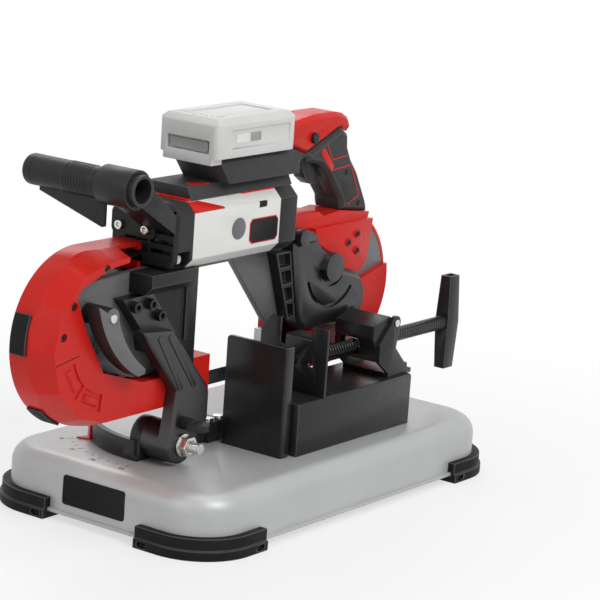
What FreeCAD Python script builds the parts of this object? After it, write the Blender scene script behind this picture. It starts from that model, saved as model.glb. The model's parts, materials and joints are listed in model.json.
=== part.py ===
import FreeCAD, Part
import math
import os

import Sketcher

# Portable band saw on a mitre stand with a quick release vise.
# X runs along the blade, Y away from the operator, Z up from the floor. Lengths are in millimetres.
# The pieces are drawn about the centre of the stand, and every piece is then moved along X by
# frame_shift, so that the origin lies under the middle of the whole machine.

doc = FreeCAD.newDocument("BandSaw")
sheet = doc.addObject("Spreadsheet::Sheet", "Sizes")
nodes = []


class Dim:
    """A length or angle that knows its value and the sheet expression that gives it."""

    def __init__(self, value, text):
        self.value = value
        self.text = text

    def __add__(self, other):
        other = as_dim(other)
        return Dim(self.value + other.value, f"({self.text} + {other.text})")

    def __sub__(self, other):
        other = as_dim(other)
        return Dim(self.value - other.value, f"({self.text} - {other.text})")

    def __mul__(self, other):
        other = as_dim(other)
        return Dim(self.value * other.value, f"({self.text} * {other.text})")

    def __truediv__(self, other):
        other = as_dim(other)
        return Dim(self.value / other.value, f"({self.text} / {other.text})")

    def __neg__(self):
        return Dim(-self.value, f"(0 - {self.text})")

    def __radd__(self, other):
        return as_dim(other) + self

    def __rsub__(self, other):
        return as_dim(other) - self

    def __rmul__(self, other):
        return as_dim(other) * self


def as_dim(number):
    return number if isinstance(number, Dim) else Dim(float(number), f"({float(number):.6f})")


def size(alias, value):
    """Write one driving size into the sheet and return it."""
    row = size.row = getattr(size, "row", 0) + 1
    sheet.set(f"A{row}", alias)
    sheet.set(f"B{row}", str(value))
    sheet.setAlias(f"B{row}", alias)
    return Dim(float(value), f"Sizes.{alias}")


def bind(item, prop, dim):
    item.setExpression(prop, as_dim(dim).text)


def cos_of(angle):
    return Dim(math.cos(math.radians(angle.value)), f"cos({angle.text} * 1 deg)")


def sin_of(angle):
    return Dim(math.sin(math.radians(angle.value)), f"sin({angle.text} * 1 deg)")


def polar(centre, radius, angle):
    """Point at an angle in degrees on a circle about a centre."""
    turn = as_dim(angle)
    return centre[0] + radius * cos_of(turn), centre[1] + radius * sin_of(turn)


def profile(name, origin, corners):
    """Write an outline's corners, measured from an origin, into the sheet and place them."""
    placed = []
    for count, corner in enumerate(corners, 1):
        x = size(f"{name}_x{count}", corner[0])
        z = size(f"{name}_z{count}", corner[1])
        arcs = tuple(size(f"{name}_r{count}", radius) for radius in corner[2:])
        placed.append((origin[0] + x, origin[1] + z) + arcs)
    return placed


def sector(centre, inner, outer, start, end):
    """Piece of a ring about a centre, between two angles."""
    return [
        polar(centre, outer, start), (*polar(centre, outer, end), outer),
        polar(centre, inner, end), (*polar(centre, inner, start), -inner),
    ]


# Sketches: a loop is a list of corners (x, y), and a corner (x, y, r) is reached by an arc of
# radius r, turning left when r is positive and right when it is negative. ("circle", x, y, r) is
# a whole circle.

def draw_segment(sketch, start, end):
    """Add a line or an arc and return its index with the positions of its two ends."""
    x1, y1 = start[0].value, start[1].value
    x2, y2 = end[0].value, end[1].value
    if len(end) == 2:
        line = Part.LineSegment(FreeCAD.Vector(x1, y1, 0), FreeCAD.Vector(x2, y2, 0))
        return sketch.addGeometry(line, False), 1, 2
    radius = abs(end[2].value)
    side = 1 if end[2].value > 0 else -1
    chord = math.hypot(x2 - x1, y2 - y1)
    rise = math.sqrt(max(radius ** 2 - chord ** 2 / 4, 0))
    cx = (x1 + x2) / 2 - side * rise * (y2 - y1) / chord
    cy = (y1 + y2) / 2 + side * rise * (x2 - x1) / chord
    circle = Part.Circle(FreeCAD.Vector(cx, cy, 0), FreeCAD.Vector(0, 0, 1), radius)
    first = math.atan2(y1 - cy, x1 - cx)
    last = math.atan2(y2 - cy, x2 - cx)
    if side < 0:
        first, last = last, first
    if last < first:
        last += 2 * math.pi
    index = sketch.addGeometry(Part.ArcOfCircle(circle, first, last), False)
    return (index, 1, 2) if side > 0 else (index, 2, 1)


def hold(sketch, kind, dim, *where):
    """Add one constraint whose value comes from the sheet."""
    index = sketch.addConstraint(Sketcher.Constraint(kind, *where, dim.value))
    sketch.setExpression(f"Constraints[{index}]", dim.text)


def draw_loop(sketch, loop):
    if loop[0] == "circle":
        x, y, radius = (as_dim(part) for part in loop[1:])
        circle = Part.Circle(FreeCAD.Vector(x.value, y.value, 0), FreeCAD.Vector(0, 0, 1), radius.value)
        index = sketch.addGeometry(circle, False)
        hold(sketch, "Radius", radius, index)
        hold(sketch, "DistanceX", x, -1, 1, index, 3)
        hold(sketch, "DistanceY", y, -1, 1, index, 3)
        return
    corners = [tuple(as_dim(part) for part in corner) for corner in loop]
    pieces = []
    for corner, following in zip(corners, corners[1:] + corners[:1]):
        pieces.append(draw_segment(sketch, corner, following))
    for piece, following in zip(pieces, pieces[1:] + pieces[:1]):
        joint = Sketcher.Constraint("Coincident", piece[0], piece[2], following[0], following[1])
        sketch.addConstraint(joint)
    for piece, corner, following in zip(pieces, corners, corners[1:] + corners[:1]):
        hold(sketch, "DistanceX", corner[0], -1, 1, piece[0], piece[1])
        hold(sketch, "DistanceY", corner[1], -1, 1, piece[0], piece[1])
        if len(following) == 3:
            radius = following[2] if following[2].value > 0 else -following[2]
            hold(sketch, "Radius", radius, piece[0])


def add_body(name):
    return doc.addObject("PartDesign::Body", name)


def add_sketch(body, plane, loops, offset):
    """Sketch on one of the body's own origin planes, moved along the plane's normal."""
    sketch = body.newObject("Sketcher::SketchObject", body.Name + "_sketch")
    origin = [item for item in body.Origin.OriginFeatures if item.Role == plane + "_Plane"][0]
    sketch.AttachmentSupport = (origin, [""])
    sketch.MapMode = "FlatFace"
    bind(sketch, "AttachmentOffset.Base.z", offset)
    for loop in loops:
        draw_loop(sketch, loop)
    return sketch


def pad(body, plane, loops, low, high):
    """Add a prism between two places along the plane's normal."""
    low, high = as_dim(low), as_dim(high)
    offset = -high if plane == "XZ" else low
    feature = body.newObject("PartDesign::Pad", body.Name + "_pad")
    feature.Profile = add_sketch(body, plane, loops, offset)
    bind(feature, "Length", high - low)
    body.Tip = feature
    return feature


def bevel(body, loop, start, end):
    """Add a 45 degree bevel on an outline, full size at one place along Y and narrower at the other."""
    start, end = as_dim(start), as_dim(end)
    forward = end.value < start.value
    feature = body.newObject("PartDesign::Pad", body.Name + "_bevel")
    feature.Profile = add_sketch(body, "XZ", [loop], -start)
    feature.Reversed = not forward
    bind(feature, "Length", start - end if forward else end - start)
    feature.TaperAngle = -45
    body.Tip = feature
    return feature


def pocket(body, plane, loops, low, high):
    """Cut a prism between two places along the plane's normal, and see that it removes material."""
    doc.recompute()
    before = body.Shape.Volume
    low, high = as_dim(low), as_dim(high)
    offset = -low if plane == "XZ" else high
    feature = body.newObject("PartDesign::Pocket", body.Name + "_pocket")
    feature.Profile = add_sketch(body, plane, loops, offset)
    bind(feature, "Length", high - low)
    body.Tip = feature
    doc.recompute()
    if not body.Shape.Volume < before:
        broken = [item.Name for item in body.Group if "Invalid" in item.State]
        raise RuntimeError(f"{body.Name}: a pocket removes nothing, broken features {broken}")
    return feature


def revolve(body, loops, kind="PartDesign::Revolution"):
    """Turn a half section, drawn as (Y, radius), about the body's own Y axis."""
    feature = body.newObject(kind, body.Name + "_turned")
    sketch = add_sketch(body, "YZ", loops, as_dim(0))
    feature.Profile = sketch
    feature.ReferenceAxis = (sketch, ["H_Axis"])
    feature.Angle = 360
    body.Tip = feature
    return feature


def soften(body, kind, prop, amount, wanted):
    """Fillet or chamfer the edges of the body that the test picks."""
    doc.recompute()
    base = body.Tip
    names = [f"Edge{count}" for count, edge in enumerate(base.Shape.Edges, 1) if wanted(edge)]
    if not names:
        raise RuntimeError(f"{body.Name}: no edge to soften")
    feature = body.newObject(kind, body.Name + "_edges")
    feature.Base = (base, names)
    bind(feature, prop, amount)
    body.Tip = feature
    doc.recompute()
    return feature


def fillet(body, amount, wanted):
    return soften(body, "PartDesign::Fillet", "Radius", amount, wanted)


def chamfer(body, amount, wanted):
    return soften(body, "PartDesign::Chamfer", "Size", amount, wanted)


def edge_along(axis, *tests):
    """Test for straight edges along an axis whose middle passes every test."""
    def wanted(edge):
        if edge.Curve.TypeId != "Part::GeomLine":
            return False
        run = edge.Vertexes[-1].Point - edge.Vertexes[0].Point
        along = abs(run[axis]) > 0.999 * run.Length
        return along and all(test(edge.CenterOfMass) for test in tests)
    return wanted


def edge_at(axis, place):
    """Test for edges that lie in the plane where one coordinate has this value."""
    def wanted(edge):
        box = edge.BoundBox
        low, high = (box.XMin, box.YMin, box.ZMin)[axis], (box.XMax, box.YMax, box.ZMax)[axis]
        return abs(low - place.value) < 0.01 and abs(high - place.value) < 0.01
    return wanted


def near(axis, place, reach=0.5):
    """Test for points close to a place along one axis."""
    return lambda point: abs(point[axis] - as_dim(place).value) < reach


def block(name, x, y, z):
    """Box between two places along each axis."""
    item = doc.addObject("Part::Box", name)
    for prop, axis, (low, high) in zip(("Length", "Width", "Height"), "xyz", (x, y, z)):
        bind(item, prop, as_dim(high) - low)
        bind(item, f"Placement.Base.{axis}", low)
    return item


TURNS = {
    "X": FreeCAD.Rotation(FreeCAD.Vector(0, 1, 0), 90),
    "Y": FreeCAD.Rotation(FreeCAD.Vector(1, 0, 0), -90),
    "Z": FreeCAD.Rotation(),
}


def rod(name, axis, start, length, radius):
    """Round bar from a start point along +X, +Y or +Z."""
    item = doc.addObject("Part::Cylinder", name)
    item.Placement = FreeCAD.Placement(FreeCAD.Vector(), TURNS[axis])
    bind(item, "Radius", radius)
    bind(item, "Height", length)
    for letter, place in zip("xyz", start):
        bind(item, f"Placement.Base.{letter}", place)
    return item


def hex_bar(name, axis, start, length, across):
    """Six sided bar from a start point, with its size across the flats."""
    item = doc.addObject("Part::Prism", name)
    item.Polygon = 6
    item.Placement = FreeCAD.Placement(FreeCAD.Vector(), TURNS[axis])
    bind(item, "Circumradius", as_dim(across) / math.sqrt(3))
    bind(item, "Height", length)
    for letter, place in zip("xyz", start):
        bind(item, f"Placement.Base.{letter}", place)
    return item


def fuse(name, items):
    joined = doc.addObject("Part::MultiFuse", name)
    joined.Shapes = items
    return joined


def cut(name, base, tools):
    result = doc.addObject("Part::Cut", name)
    result.Base = base
    result.Tool = tools[0] if len(tools) == 1 else fuse(name + "_tools", tools)
    return result


def common(name, base, tool):
    result = doc.addObject("Part::Common", name)
    result.Base = base
    result.Tool = tool
    return result


def group(name, items):
    """Several separate solids of one kind that share a node."""
    result = doc.addObject("Part::Compound", name)
    result.Links = items
    return result


def node(label, item, place=(0, 0, 0)):
    """Name a finished piece and put it in the machine's frame."""
    if item.TypeId in ("Part::Box", "Part::Cylinder", "Part::Prism"):
        item = group(label + "_set", [item])
    item.Label = label
    bind(item, "Placement.Base.x", as_dim(place[0]) + frame_shift)
    bind(item, "Placement.Base.y", place[1])
    bind(item, "Placement.Base.z", place[2])
    nodes.append(item)
    return item


def rectangle(x, y):
    return [(x[0], y[0]), (x[1], y[0]), (x[1], y[1]), (x[0], y[1])]


def rounded_rectangle(half_x, half_y, corner):
    """Rectangle about the origin with round corners, drawn to the left."""
    inner_x, inner_y = half_x - corner, half_y - corner
    return [
        (inner_x, -half_y), (half_x, -inner_y, corner),
        (half_x, inner_y), (inner_x, half_y, corner),
        (-inner_x, half_y), (-half_x, inner_y, corner),
        (-half_x, -inner_y), (-inner_x, -half_y, corner),
    ]


# Sizes that several pieces share

fit_gap = size("fit_gap", 0.3)
run_gap = size("run_gap", 0.05)
base_length = size("base_length", 455)
base_width = size("base_width", 258)
pan_top = size("pan_top", 56.5)
blade_y = size("blade_y", 2)
band_width = size("band_width", 13)
band_thick = size("band_thick", 0.65)
band_radius = size("band_radius", 66.5)
band_length = size("band_length", 1141)
wheel_width = size("wheel_width", 14)
plate_front = size("plate_front", -13)
plate_thick = size("plate_thick", 7)
cover_room = size("cover_room", 9)
cover_wall = size("cover_wall", 4)
guard_room = size("guard_room", 2.5)
guard_wall = size("guard_wall", 3)
guard_turn = size("guard_turn", 52)
bumper_proud = size("bumper_proud", 2.5)
tee_centre = size("tee_centre", 244)
tee_width = size("tee_width", 20)
pivot_x = size("pivot_x", -158)
pivot_z = size("pivot_z", 76.5)
swivel_x = size("swivel_x", -70)
barrel_radius = size("barrel_radius", 18.5)
head_clear = size("head_clear", 8.5)
head_reach = size("head_reach", 91)

idler_x = pivot_x - head_reach
drive_x = idler_x + (band_length - 2 * math.pi * band_radius) / 2
cover_radius = band_radius + cover_room + cover_wall
guard_radius = band_radius + guard_room + guard_wall
wheel_z = pivot_z + barrel_radius + head_clear + cover_radius
head_floor = wheel_z + guard_radius * sin_of(guard_turn) + fit_gap
left_end = idler_x - cover_radius - bumper_proud
right_end = tee_centre + tee_width / 2
frame_shift = -(left_end + right_end) / 2
plate_back = plate_front + plate_thick
swivel = (swivel_x, blade_y)
idler = (idler_x, wheel_z)
drive = (drive_x, wheel_z)
head = (drive_x, head_floor)


# Stand: pressed pan and its four corner feet

pan_rim = size("pan_rim", 7)
pan_corner = size("pan_corner", 48)
pan_round = size("pan_round", 18)
sheet_wall = size("sheet_wall", 2.5)
flange_reach = size("flange_reach", 4)
flange_thick = size("flange_thick", 3)
foot_leg = size("foot_leg", 76)
foot_height = size("foot_height", 20)
foot_reach = size("foot_reach", 8)
foot_lip = size("foot_lip", 2)
foot_lip_height = size("foot_lip_height", 9)
foot_under = size("foot_under", 14)
foot_slot_width = size("foot_slot_width", 10)
foot_slot_depth = size("foot_slot_depth", 5)
foot_slot_low = size("foot_slot_low", 2)
foot_slot_high = size("foot_slot_high", 7)
swivel_bolt_radius = size("swivel_bolt_radius", 6)

half_length = base_length / 2
half_width = base_width / 2


def pan_outline(grow):
    return rounded_rectangle(half_length + grow, half_width + grow, pan_corner + grow)


def make_base_pan():
    body = add_body("base_pan")
    pad(body, "XY", [pan_outline(as_dim(0))], pan_rim, pan_top)
    fillet(body, pan_round, edge_at(2, pan_top))
    base = body.Tip
    faces = [f"Face{count}" for count, face in enumerate(base.Shape.Faces, 1)
             if abs(face.BoundBox.ZMax - pan_rim.value) < 0.01]
    shell = body.newObject("PartDesign::Thickness", "base_pan_shell")
    shell.Base = (base, faces)
    shell.Reversed = True
    bind(shell, "Value", sheet_wall)
    body.Tip = shell
    pad(body, "XY", [pan_outline(flange_reach), pan_outline(-sheet_wall)], pan_rim, pan_rim + flange_thick)
    hole = ("circle", swivel_x, blade_y, swivel_bolt_radius + run_gap)
    pocket(body, "XY", [hole], pan_top - pan_round, pan_top + fit_gap)
    node("base_pan", body)


def make_corner_feet():
    ring = add_body("foot_ring")
    inside = pan_outline(-foot_under)
    pad(ring, "XY", [pan_outline(foot_reach + foot_lip), inside], 0, foot_lip_height)
    pad(ring, "XY", [pan_outline(foot_reach), inside], foot_lip_height, foot_height)
    pocket(ring, "XY", [pan_outline(as_dim(0))], pan_rim, foot_height + fit_gap)
    pocket(ring, "XY", [pan_outline(flange_reach)], pan_rim, pan_rim + flange_thick + fit_gap)
    corners = []
    slots = []
    reach = foot_reach + foot_lip
    for side_x in (-1, 1):
        for side_y in (-1, 1):
            outer_x = side_x * (half_length + reach)
            outer_y = side_y * (half_width + reach)
            x = sorted((outer_x, side_x * (half_length - foot_leg)), key=lambda place: place.value)
            y = sorted((outer_y, side_y * (half_width - foot_leg)), key=lambda place: place.value)
            corners.append(block("foot_corner", x, y, (0, foot_height)))
            middle_x = side_x * (half_length - foot_leg + foot_slot_width)
            middle_y = side_y * (half_width - foot_leg + foot_slot_width)
            span = foot_slot_width / 2
            height = (foot_slot_low, foot_slot_high)
            deep = (-foot_slot_depth, foot_slot_depth)
            slots.append(block("foot_slot", (middle_x - span, middle_x + span),
                               (outer_y + deep[0], outer_y + deep[1]), height))
            slots.append(block("foot_slot", (outer_x + deep[0], outer_x + deep[1]),
                               (middle_y - span, middle_y + span), height))
    slotted = cut("foot_slotted", ring, slots)
    node("corner_feet", common("foot_set", slotted, fuse("foot_corners", corners)))


# Vise: bed, fixed jaw, sliding jaw, screw with folded handle, bracket with half nut

bed_left = size("bed_left", -55)
bed_right = size("bed_right", 129)
bed_front = size("bed_front", -92.7)
bed_back = size("bed_back", -20)
bed_top = size("bed_top", 106.4)
bed_wall = size("bed_wall", 4)
bed_round = size("bed_round", 3)
fixed_jaw_face = size("fixed_jaw_face", -67)
fixed_jaw_thick = size("fixed_jaw_thick", 4)
fixed_jaw_front = size("fixed_jaw_front", -87)
fixed_jaw_back = size("fixed_jaw_back", -17)
fixed_jaw_top = size("fixed_jaw_top", 161.5)
fixed_jaw_flange = size("fixed_jaw_flange", 11)
jaw_face = size("jaw_face", -16)
jaw_thick = size("jaw_thick", 3)
jaw_front = size("jaw_front", -92)
jaw_back = size("jaw_back", -14.5)
jaw_top = size("jaw_top", 160)
jaw_tab_top = size("jaw_tab_top", 174)
jaw_tab_width = size("jaw_tab_width", 22)
jaw_front_tab_width = size("jaw_front_tab_width", 18)
jaw_shelf = size("jaw_shelf", 20)
jaw_hole_radius = size("jaw_hole_radius", 3)
screw_y = size("screw_y", -55)
screw_z = size("screw_z", 135)
screw_radius = size("screw_radius", 7)
spigot_radius = size("spigot_radius", 4)
tee_height = size("tee_height", 96)
tee_end_width = size("tee_end_width", 16.5)
tee_depth = size("tee_depth", 15.6)
tee_end_depth = size("tee_end_depth", 11.5)
tee_wall = size("tee_wall", 2)
gusset_front = size("gusset_front", -88)
gusset_back = size("gusset_back", -34)
gusset_thick = size("gusset_thick", 4)
nut_left = size("nut_left", 78)
nut_width = size("nut_width", 22)
nut_pin_x = size("nut_pin_x", 103)
nut_pin_z = size("nut_pin_z", 160)
nut_pin_radius = size("nut_pin_radius", 3)
nut_eye_radius = size("nut_eye_radius", 7)
bracket_foot = size("bracket_foot", 4.6)
bracket_reach = size("bracket_reach", 5)
insert_wall = size("insert_wall", 3)

notch_half = screw_radius + insert_wall


def make_vise_bed():
    body = add_body("vise_bed")
    pad(body, "XY", [rectangle((bed_left, bed_right), (bed_front, bed_back))], pan_top, bed_top)
    inner = rectangle((bed_left + bed_wall, bed_right - bed_wall),
                      (bed_front + bed_wall, bed_back - bed_wall))
    pocket(body, "XY", [inner], pan_top, bed_top - bed_wall)
    fillet(body, bed_round, edge_along(0, near(2, bed_top)))
    node("vise_bed", body)


def make_fixed_jaw():
    body = add_body("fixed_jaw")
    back = fixed_jaw_face - fixed_jaw_thick
    angle = [
        (back, fixed_jaw_front), (back + fixed_jaw_flange, fixed_jaw_front),
        (back + fixed_jaw_flange, fixed_jaw_front + fixed_jaw_thick),
        (fixed_jaw_face, fixed_jaw_front + fixed_jaw_thick),
        (fixed_jaw_face, fixed_jaw_back), (back, fixed_jaw_back),
    ]
    pad(body, "XY", [angle], pan_top, fixed_jaw_top)
    fillet(body, fixed_jaw_thick / 2, edge_along(2, near(0, back), near(1, fixed_jaw_front)))
    fillet(body, fixed_jaw_thick, edge_along(0, near(1, fixed_jaw_back), near(2, fixed_jaw_top)))
    node("fixed_jaw", body)


def make_sliding_jaw():
    body = add_body("sliding_jaw")
    low = bed_top + fit_gap
    tab = jaw_back - jaw_tab_width
    front_tab = jaw_front + jaw_front_tab_width
    notch = jaw_top - jaw_tab_width / 2
    notch_end = tab - jaw_tab_width / 3
    outline = [
        (jaw_front, low), (jaw_back, low), (jaw_back, jaw_top), (jaw_back - jaw_tab_width / 2, jaw_tab_top),
        (tab, jaw_tab_top), (tab, notch), (notch_end, notch), (notch_end, jaw_top),
        (front_tab, jaw_top), (front_tab, jaw_tab_top - jaw_thick), (jaw_front, jaw_tab_top - jaw_thick),
    ]
    spigot_hole = ("circle", screw_y, screw_z, spigot_radius + run_gap)
    hole = ("circle", jaw_front + jaw_front_tab_width, screw_z, jaw_hole_radius)
    pad(body, "YZ", [outline, spigot_hole, hole], jaw_face, jaw_face + jaw_thick)
    shelf = rectangle((front_tab + fit_gap, notch_end - fit_gap), (jaw_top - jaw_thick, jaw_top))
    pad(body, "YZ", [shelf], jaw_face + jaw_thick, jaw_face + jaw_shelf)
    fillet(body, jaw_thick, edge_along(1, near(0, jaw_face), near(2, jaw_top)))
    node("sliding_jaw", body)


def make_vise_screw():
    """Screw bar with a spigot that turns in the sliding jaw."""
    body = add_body("vise_screw")
    start = jaw_face
    shoulder = jaw_face + jaw_thick + run_gap
    end = tee_centre
    pad(body, "YZ", [("circle", screw_y, screw_z, spigot_radius)], start, shoulder)
    pad(body, "YZ", [("circle", screw_y, screw_z, screw_radius)], shoulder, end)
    node("vise_screw", body)


def make_tee_handle():
    """Folded bar, wide in the middle and open at both ends, with a bore for the screw."""
    body = add_body("tee_handle")
    low = screw_z - tee_height / 2
    high = screw_z + tee_height / 2
    sections = []
    for z, width, depth in ((low, tee_end_width, tee_end_depth), (screw_z, tee_width, tee_depth),
                            (high, tee_end_width, tee_end_depth)):
        x = (tee_centre - width / 2, tee_centre + width / 2)
        y = (screw_y - depth / 2, screw_y + depth / 2)
        sections.append(add_sketch(body, "XY", [rectangle(x, y)], z))
    loft = body.newObject("PartDesign::AdditiveLoft", "tee_loft")
    loft.Profile = sections[0]
    loft.Sections = sections[1:]
    loft.Ruled = True
    body.Tip = loft
    mouth_x = (tee_centre - tee_end_width / 2 + tee_wall, tee_centre + tee_end_width / 2 - tee_wall)
    mouth_y = (screw_y - tee_end_depth / 2 + tee_wall, screw_y + tee_end_depth / 2 - tee_wall)
    depth = tee_height / 2 - 2 * screw_radius
    pocket(body, "XY", [rectangle(mouth_x, mouth_y)], high - depth, high)
    pocket(body, "XY", [rectangle(mouth_x, mouth_y)], low, low + depth)
    bore = [("circle", screw_y, screw_z, screw_radius)]
    pocket(body, "YZ", bore, tee_centre - tee_width, tee_centre)
    node("tee_handle", body)


def make_nut_bracket():
    body = add_body("nut_bracket")
    foot_left = nut_left + nut_width - bracket_reach
    foot = rectangle((foot_left, bed_right + bracket_reach), (gusset_front, gusset_back))
    pad(body, "XY", [foot], bed_top, bed_top + bracket_foot)
    top = bed_top + bracket_foot
    right = nut_left + nut_width
    eye_left = nut_pin_x - nut_eye_radius
    eye_right = nut_pin_x + nut_eye_radius
    outline = [
        (foot_left, top), (bed_right, top), (right + bracket_reach, screw_z), (eye_right, nut_pin_z),
        (nut_pin_x, nut_pin_z + nut_eye_radius, nut_eye_radius), (eye_left, nut_pin_z, nut_eye_radius),
        (nut_left, screw_z + screw_radius), (nut_left, screw_z - nut_width / 2),
    ]
    pad(body, "XZ", [outline], gusset_front, gusset_front + gusset_thick)
    pad(body, "XZ", [outline], gusset_back - gusset_thick, gusset_back)
    cradle = rectangle((nut_left, right), (screw_z - nut_width / 2, screw_z - fit_gap))
    pad(body, "XZ", [cradle], gusset_front, gusset_back)
    clear = screw_radius + fit_gap
    yoke = rectangle((screw_y - clear, screw_y + clear), (screw_z - clear, screw_z))
    pocket(body, "YZ", [yoke], nut_left, right)
    hole = ("circle", nut_pin_x, nut_pin_z, nut_pin_radius)
    pocket(body, "XZ", [hole], gusset_front, gusset_back)
    node("nut_bracket", body)


def make_half_nut():
    """Upper half of the nut. It hinges up on its pin to let the screw slide."""
    body = add_body("half_nut")
    low = screw_z + fit_gap
    right = nut_left + nut_width
    rise = nut_pin_z - screw_z
    outline = [
        (nut_left, low), (right, low), (right, low + rise / 2),
        (nut_pin_x + nut_eye_radius - fit_gap, nut_pin_z),
        (nut_pin_x - nut_eye_radius, nut_pin_z + nut_eye_radius), (nut_left - nut_eye_radius, nut_pin_z),
        (nut_left - nut_eye_radius, low + rise / 2),
    ]
    front = gusset_front + gusset_thick + fit_gap
    back = gusset_back - gusset_thick - fit_gap
    pad(body, "XZ", [outline], front, back)
    notch = rectangle((screw_y - notch_half, screw_y + notch_half), (low, screw_z + notch_half))
    pocket(body, "YZ", [notch], nut_left - nut_width, right + nut_width)
    pocket(body, "XZ", [("circle", nut_pin_x, nut_pin_z, nut_pin_radius + run_gap)], front, back)
    node("half_nut", body)


def make_nut_insert():
    """Half round lining that seats in the half nut's notch and rides on the screw."""
    low = screw_z + fit_gap
    x = (nut_left, nut_left + nut_width)
    y = (screw_y - notch_half, screw_y + notch_half)
    lining = block("nut_lining", x, y, (low, screw_z + notch_half))
    bore = rod("nut_lining_bore", "X", (nut_left, screw_y, screw_z), nut_width, screw_radius + fit_gap)
    node("nut_insert", cut("nut_insert_set", lining, [bore]))


def make_nut_pin():
    body = add_body("nut_pin")
    pad(body, "XZ", [("circle", nut_pin_x, nut_pin_z, nut_pin_radius)], gusset_front, gusset_back)
    head = ("circle", nut_pin_x, nut_pin_z, nut_pin_radius + 2 * fit_gap)
    pad(body, "XZ", [head], gusset_front - nut_pin_radius / 2, gusset_front)
    node("nut_pin", body)


make_base_pan()
make_corner_feet()
make_vise_bed()
make_fixed_jaw()
make_sliding_jaw()
make_vise_screw()
make_tee_handle()
make_nut_bracket()
make_half_nut()
make_nut_insert()
make_nut_pin()


# Mitre table: turns on the pan about the swivel bolt and carries the tilt pivot

tongue_half = size("tongue_half", 7.5)
tongue_thick = size("tongue_thick", 5)
hub_half = size("hub_half", 12)
hub_top = size("hub_top", 76)
sector_radius = size("sector_radius", 110)
sector_thick = size("sector_thick", 6)
sector_start = size("sector_start", 137)
sector_end = size("sector_end", 182)
sector_height = size("sector_height", 19)
pointer_reach = size("pointer_reach", 13)
pointer_thick = size("pointer_thick", 1.5)
pointer_span = size("pointer_span", 3)
barrel_back = size("barrel_back", -6)
upright_thick = size("upright_thick", 12)
tilt_bolt_radius = size("tilt_bolt_radius", 5)
tilt_bolt_end = size("tilt_bolt_end", -61)
tilt_flats = size("tilt_flats", 17)
tilt_head = size("tilt_head", 6.4)
tilt_nut_height = size("tilt_nut_height", 8)
washer_radius = size("washer_radius", 10.5)
washer_thick = size("washer_thick", 2)
arm_front = size("arm_front", -40)
arm_back = size("arm_back", -25.5)
hub_bolt_radius = size("hub_bolt_radius", 3)
hub_bolt_flats = size("hub_bolt_flats", 10)
hub_bolt_head = size("hub_bolt_head", 4)
hub_bolt_length = size("hub_bolt_length", 12)
hub_bolt_spacing = size("hub_bolt_spacing", 16)

table_low = pan_top + fit_gap
sector_inner = sector_radius - sector_thick
upright_front = barrel_back + fit_gap
upright_back = upright_front + upright_thick
hub_bolt_places = [(swivel_x - hub_bolt_spacing / 2, blade_y - hub_half + hub_bolt_flats / 2),
                   (swivel_x + hub_bolt_spacing / 2, blade_y - hub_half + hub_bolt_flats / 2)]


def make_swivel_bracket():
    body = add_body("swivel_bracket")
    tongue = rectangle((swivel_x - sector_radius, swivel_x + hub_half),
                       (blade_y - tongue_half, blade_y + tongue_half))
    pad(body, "XY", [tongue], table_low, table_low + tongue_thick)
    hub = rectangle((swivel_x - hub_half, swivel_x + hub_half), (blade_y - hub_half, blade_y + hub_half))
    pad(body, "XY", [hub], table_low, hub_top)
    wall = sector(swivel, sector_inner, sector_radius, sector_start, sector_end)
    pad(body, "XY", [wall], table_low, table_low + sector_height)
    left = pivot_x - barrel_radius
    right = pivot_x + barrel_radius
    upright = [
        (left, table_low), (right, table_low), (right, pivot_z),
        (pivot_x, pivot_z + barrel_radius, barrel_radius), (left, pivot_z, barrel_radius),
    ]
    pad(body, "XZ", [upright], upright_front, upright_back)
    pocket(body, "XZ", [("circle", pivot_x, pivot_z, tilt_bolt_radius)], upright_front, upright_back)
    pocket(body, "XY", [("circle", swivel_x, blade_y, swivel_bolt_radius)], table_low, hub_top)
    holes = [("circle", x, y, hub_bolt_radius) for x, y in hub_bolt_places]
    pocket(body, "XY", holes, hub_top - hub_bolt_length, hub_top)
    node("swivel_bracket", body)


def make_scale_pointer():
    """Angle plate on the end of the sector wall, with a tip that reads the degree scale."""
    body = add_body("scale_pointer")
    middle = sector_start + pointer_span
    foot = sector_radius + pointer_thick
    leg = sector(swivel, sector_radius, foot, sector_start, sector_start + 2 * pointer_span)
    pad(body, "XY", [leg], table_low, table_low + sector_height + pointer_thick)
    tip = [(*polar(swivel, sector_radius, sector_start), -sector_radius),
           polar(swivel, sector_radius + pointer_reach, middle),
           polar(swivel, sector_radius, sector_start + 2 * pointer_span)]
    pad(body, "XY", [tip], table_low, table_low + pointer_thick)
    lip = sector(swivel, sector_inner, foot, sector_start, sector_start + 2 * pointer_span)
    pad(body, "XY", [lip], table_low + sector_height, table_low + sector_height + pointer_thick)
    node("scale_pointer", body)


def make_swivel_bolt():
    """Pivot stud, flush in the hub and held by a nut under the pan."""
    low = pan_top - sheet_wall - fit_gap
    start = (swivel_x, blade_y, low - tilt_nut_height)
    shank = rod("swivel_shank", "Z", start, hub_top - start[2], swivel_bolt_radius)
    nut = hex_bar("swivel_nut", "Z", start, tilt_nut_height, tilt_flats)
    node("swivel_bolt", fuse("swivel_bolt_set", [shank, nut]))


def make_hub_bolts():
    bolts = []
    for x, y in hub_bolt_places:
        shank = rod("hub_shank", "Z", (x, y, hub_top - hub_bolt_length), hub_bolt_length, hub_bolt_radius)
        head = hex_bar("hub_head", "Z", (x, y, hub_top), hub_bolt_head, hub_bolt_flats)
        bolts.append(fuse("hub_bolt", [shank, head]))
    node("hub_bolts", group("hub_bolt_set", bolts))


def make_tilt_bolt():
    length = upright_back - tilt_bolt_end
    shank = rod("tilt_shank", "Y", (pivot_x, tilt_bolt_end, pivot_z), length, tilt_bolt_radius)
    head = hex_bar("tilt_head_bar", "Y", (pivot_x, upright_back, pivot_z), tilt_head, tilt_flats)
    node("tilt_bolt", fuse("tilt_bolt_set", [shank, head]))


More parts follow.
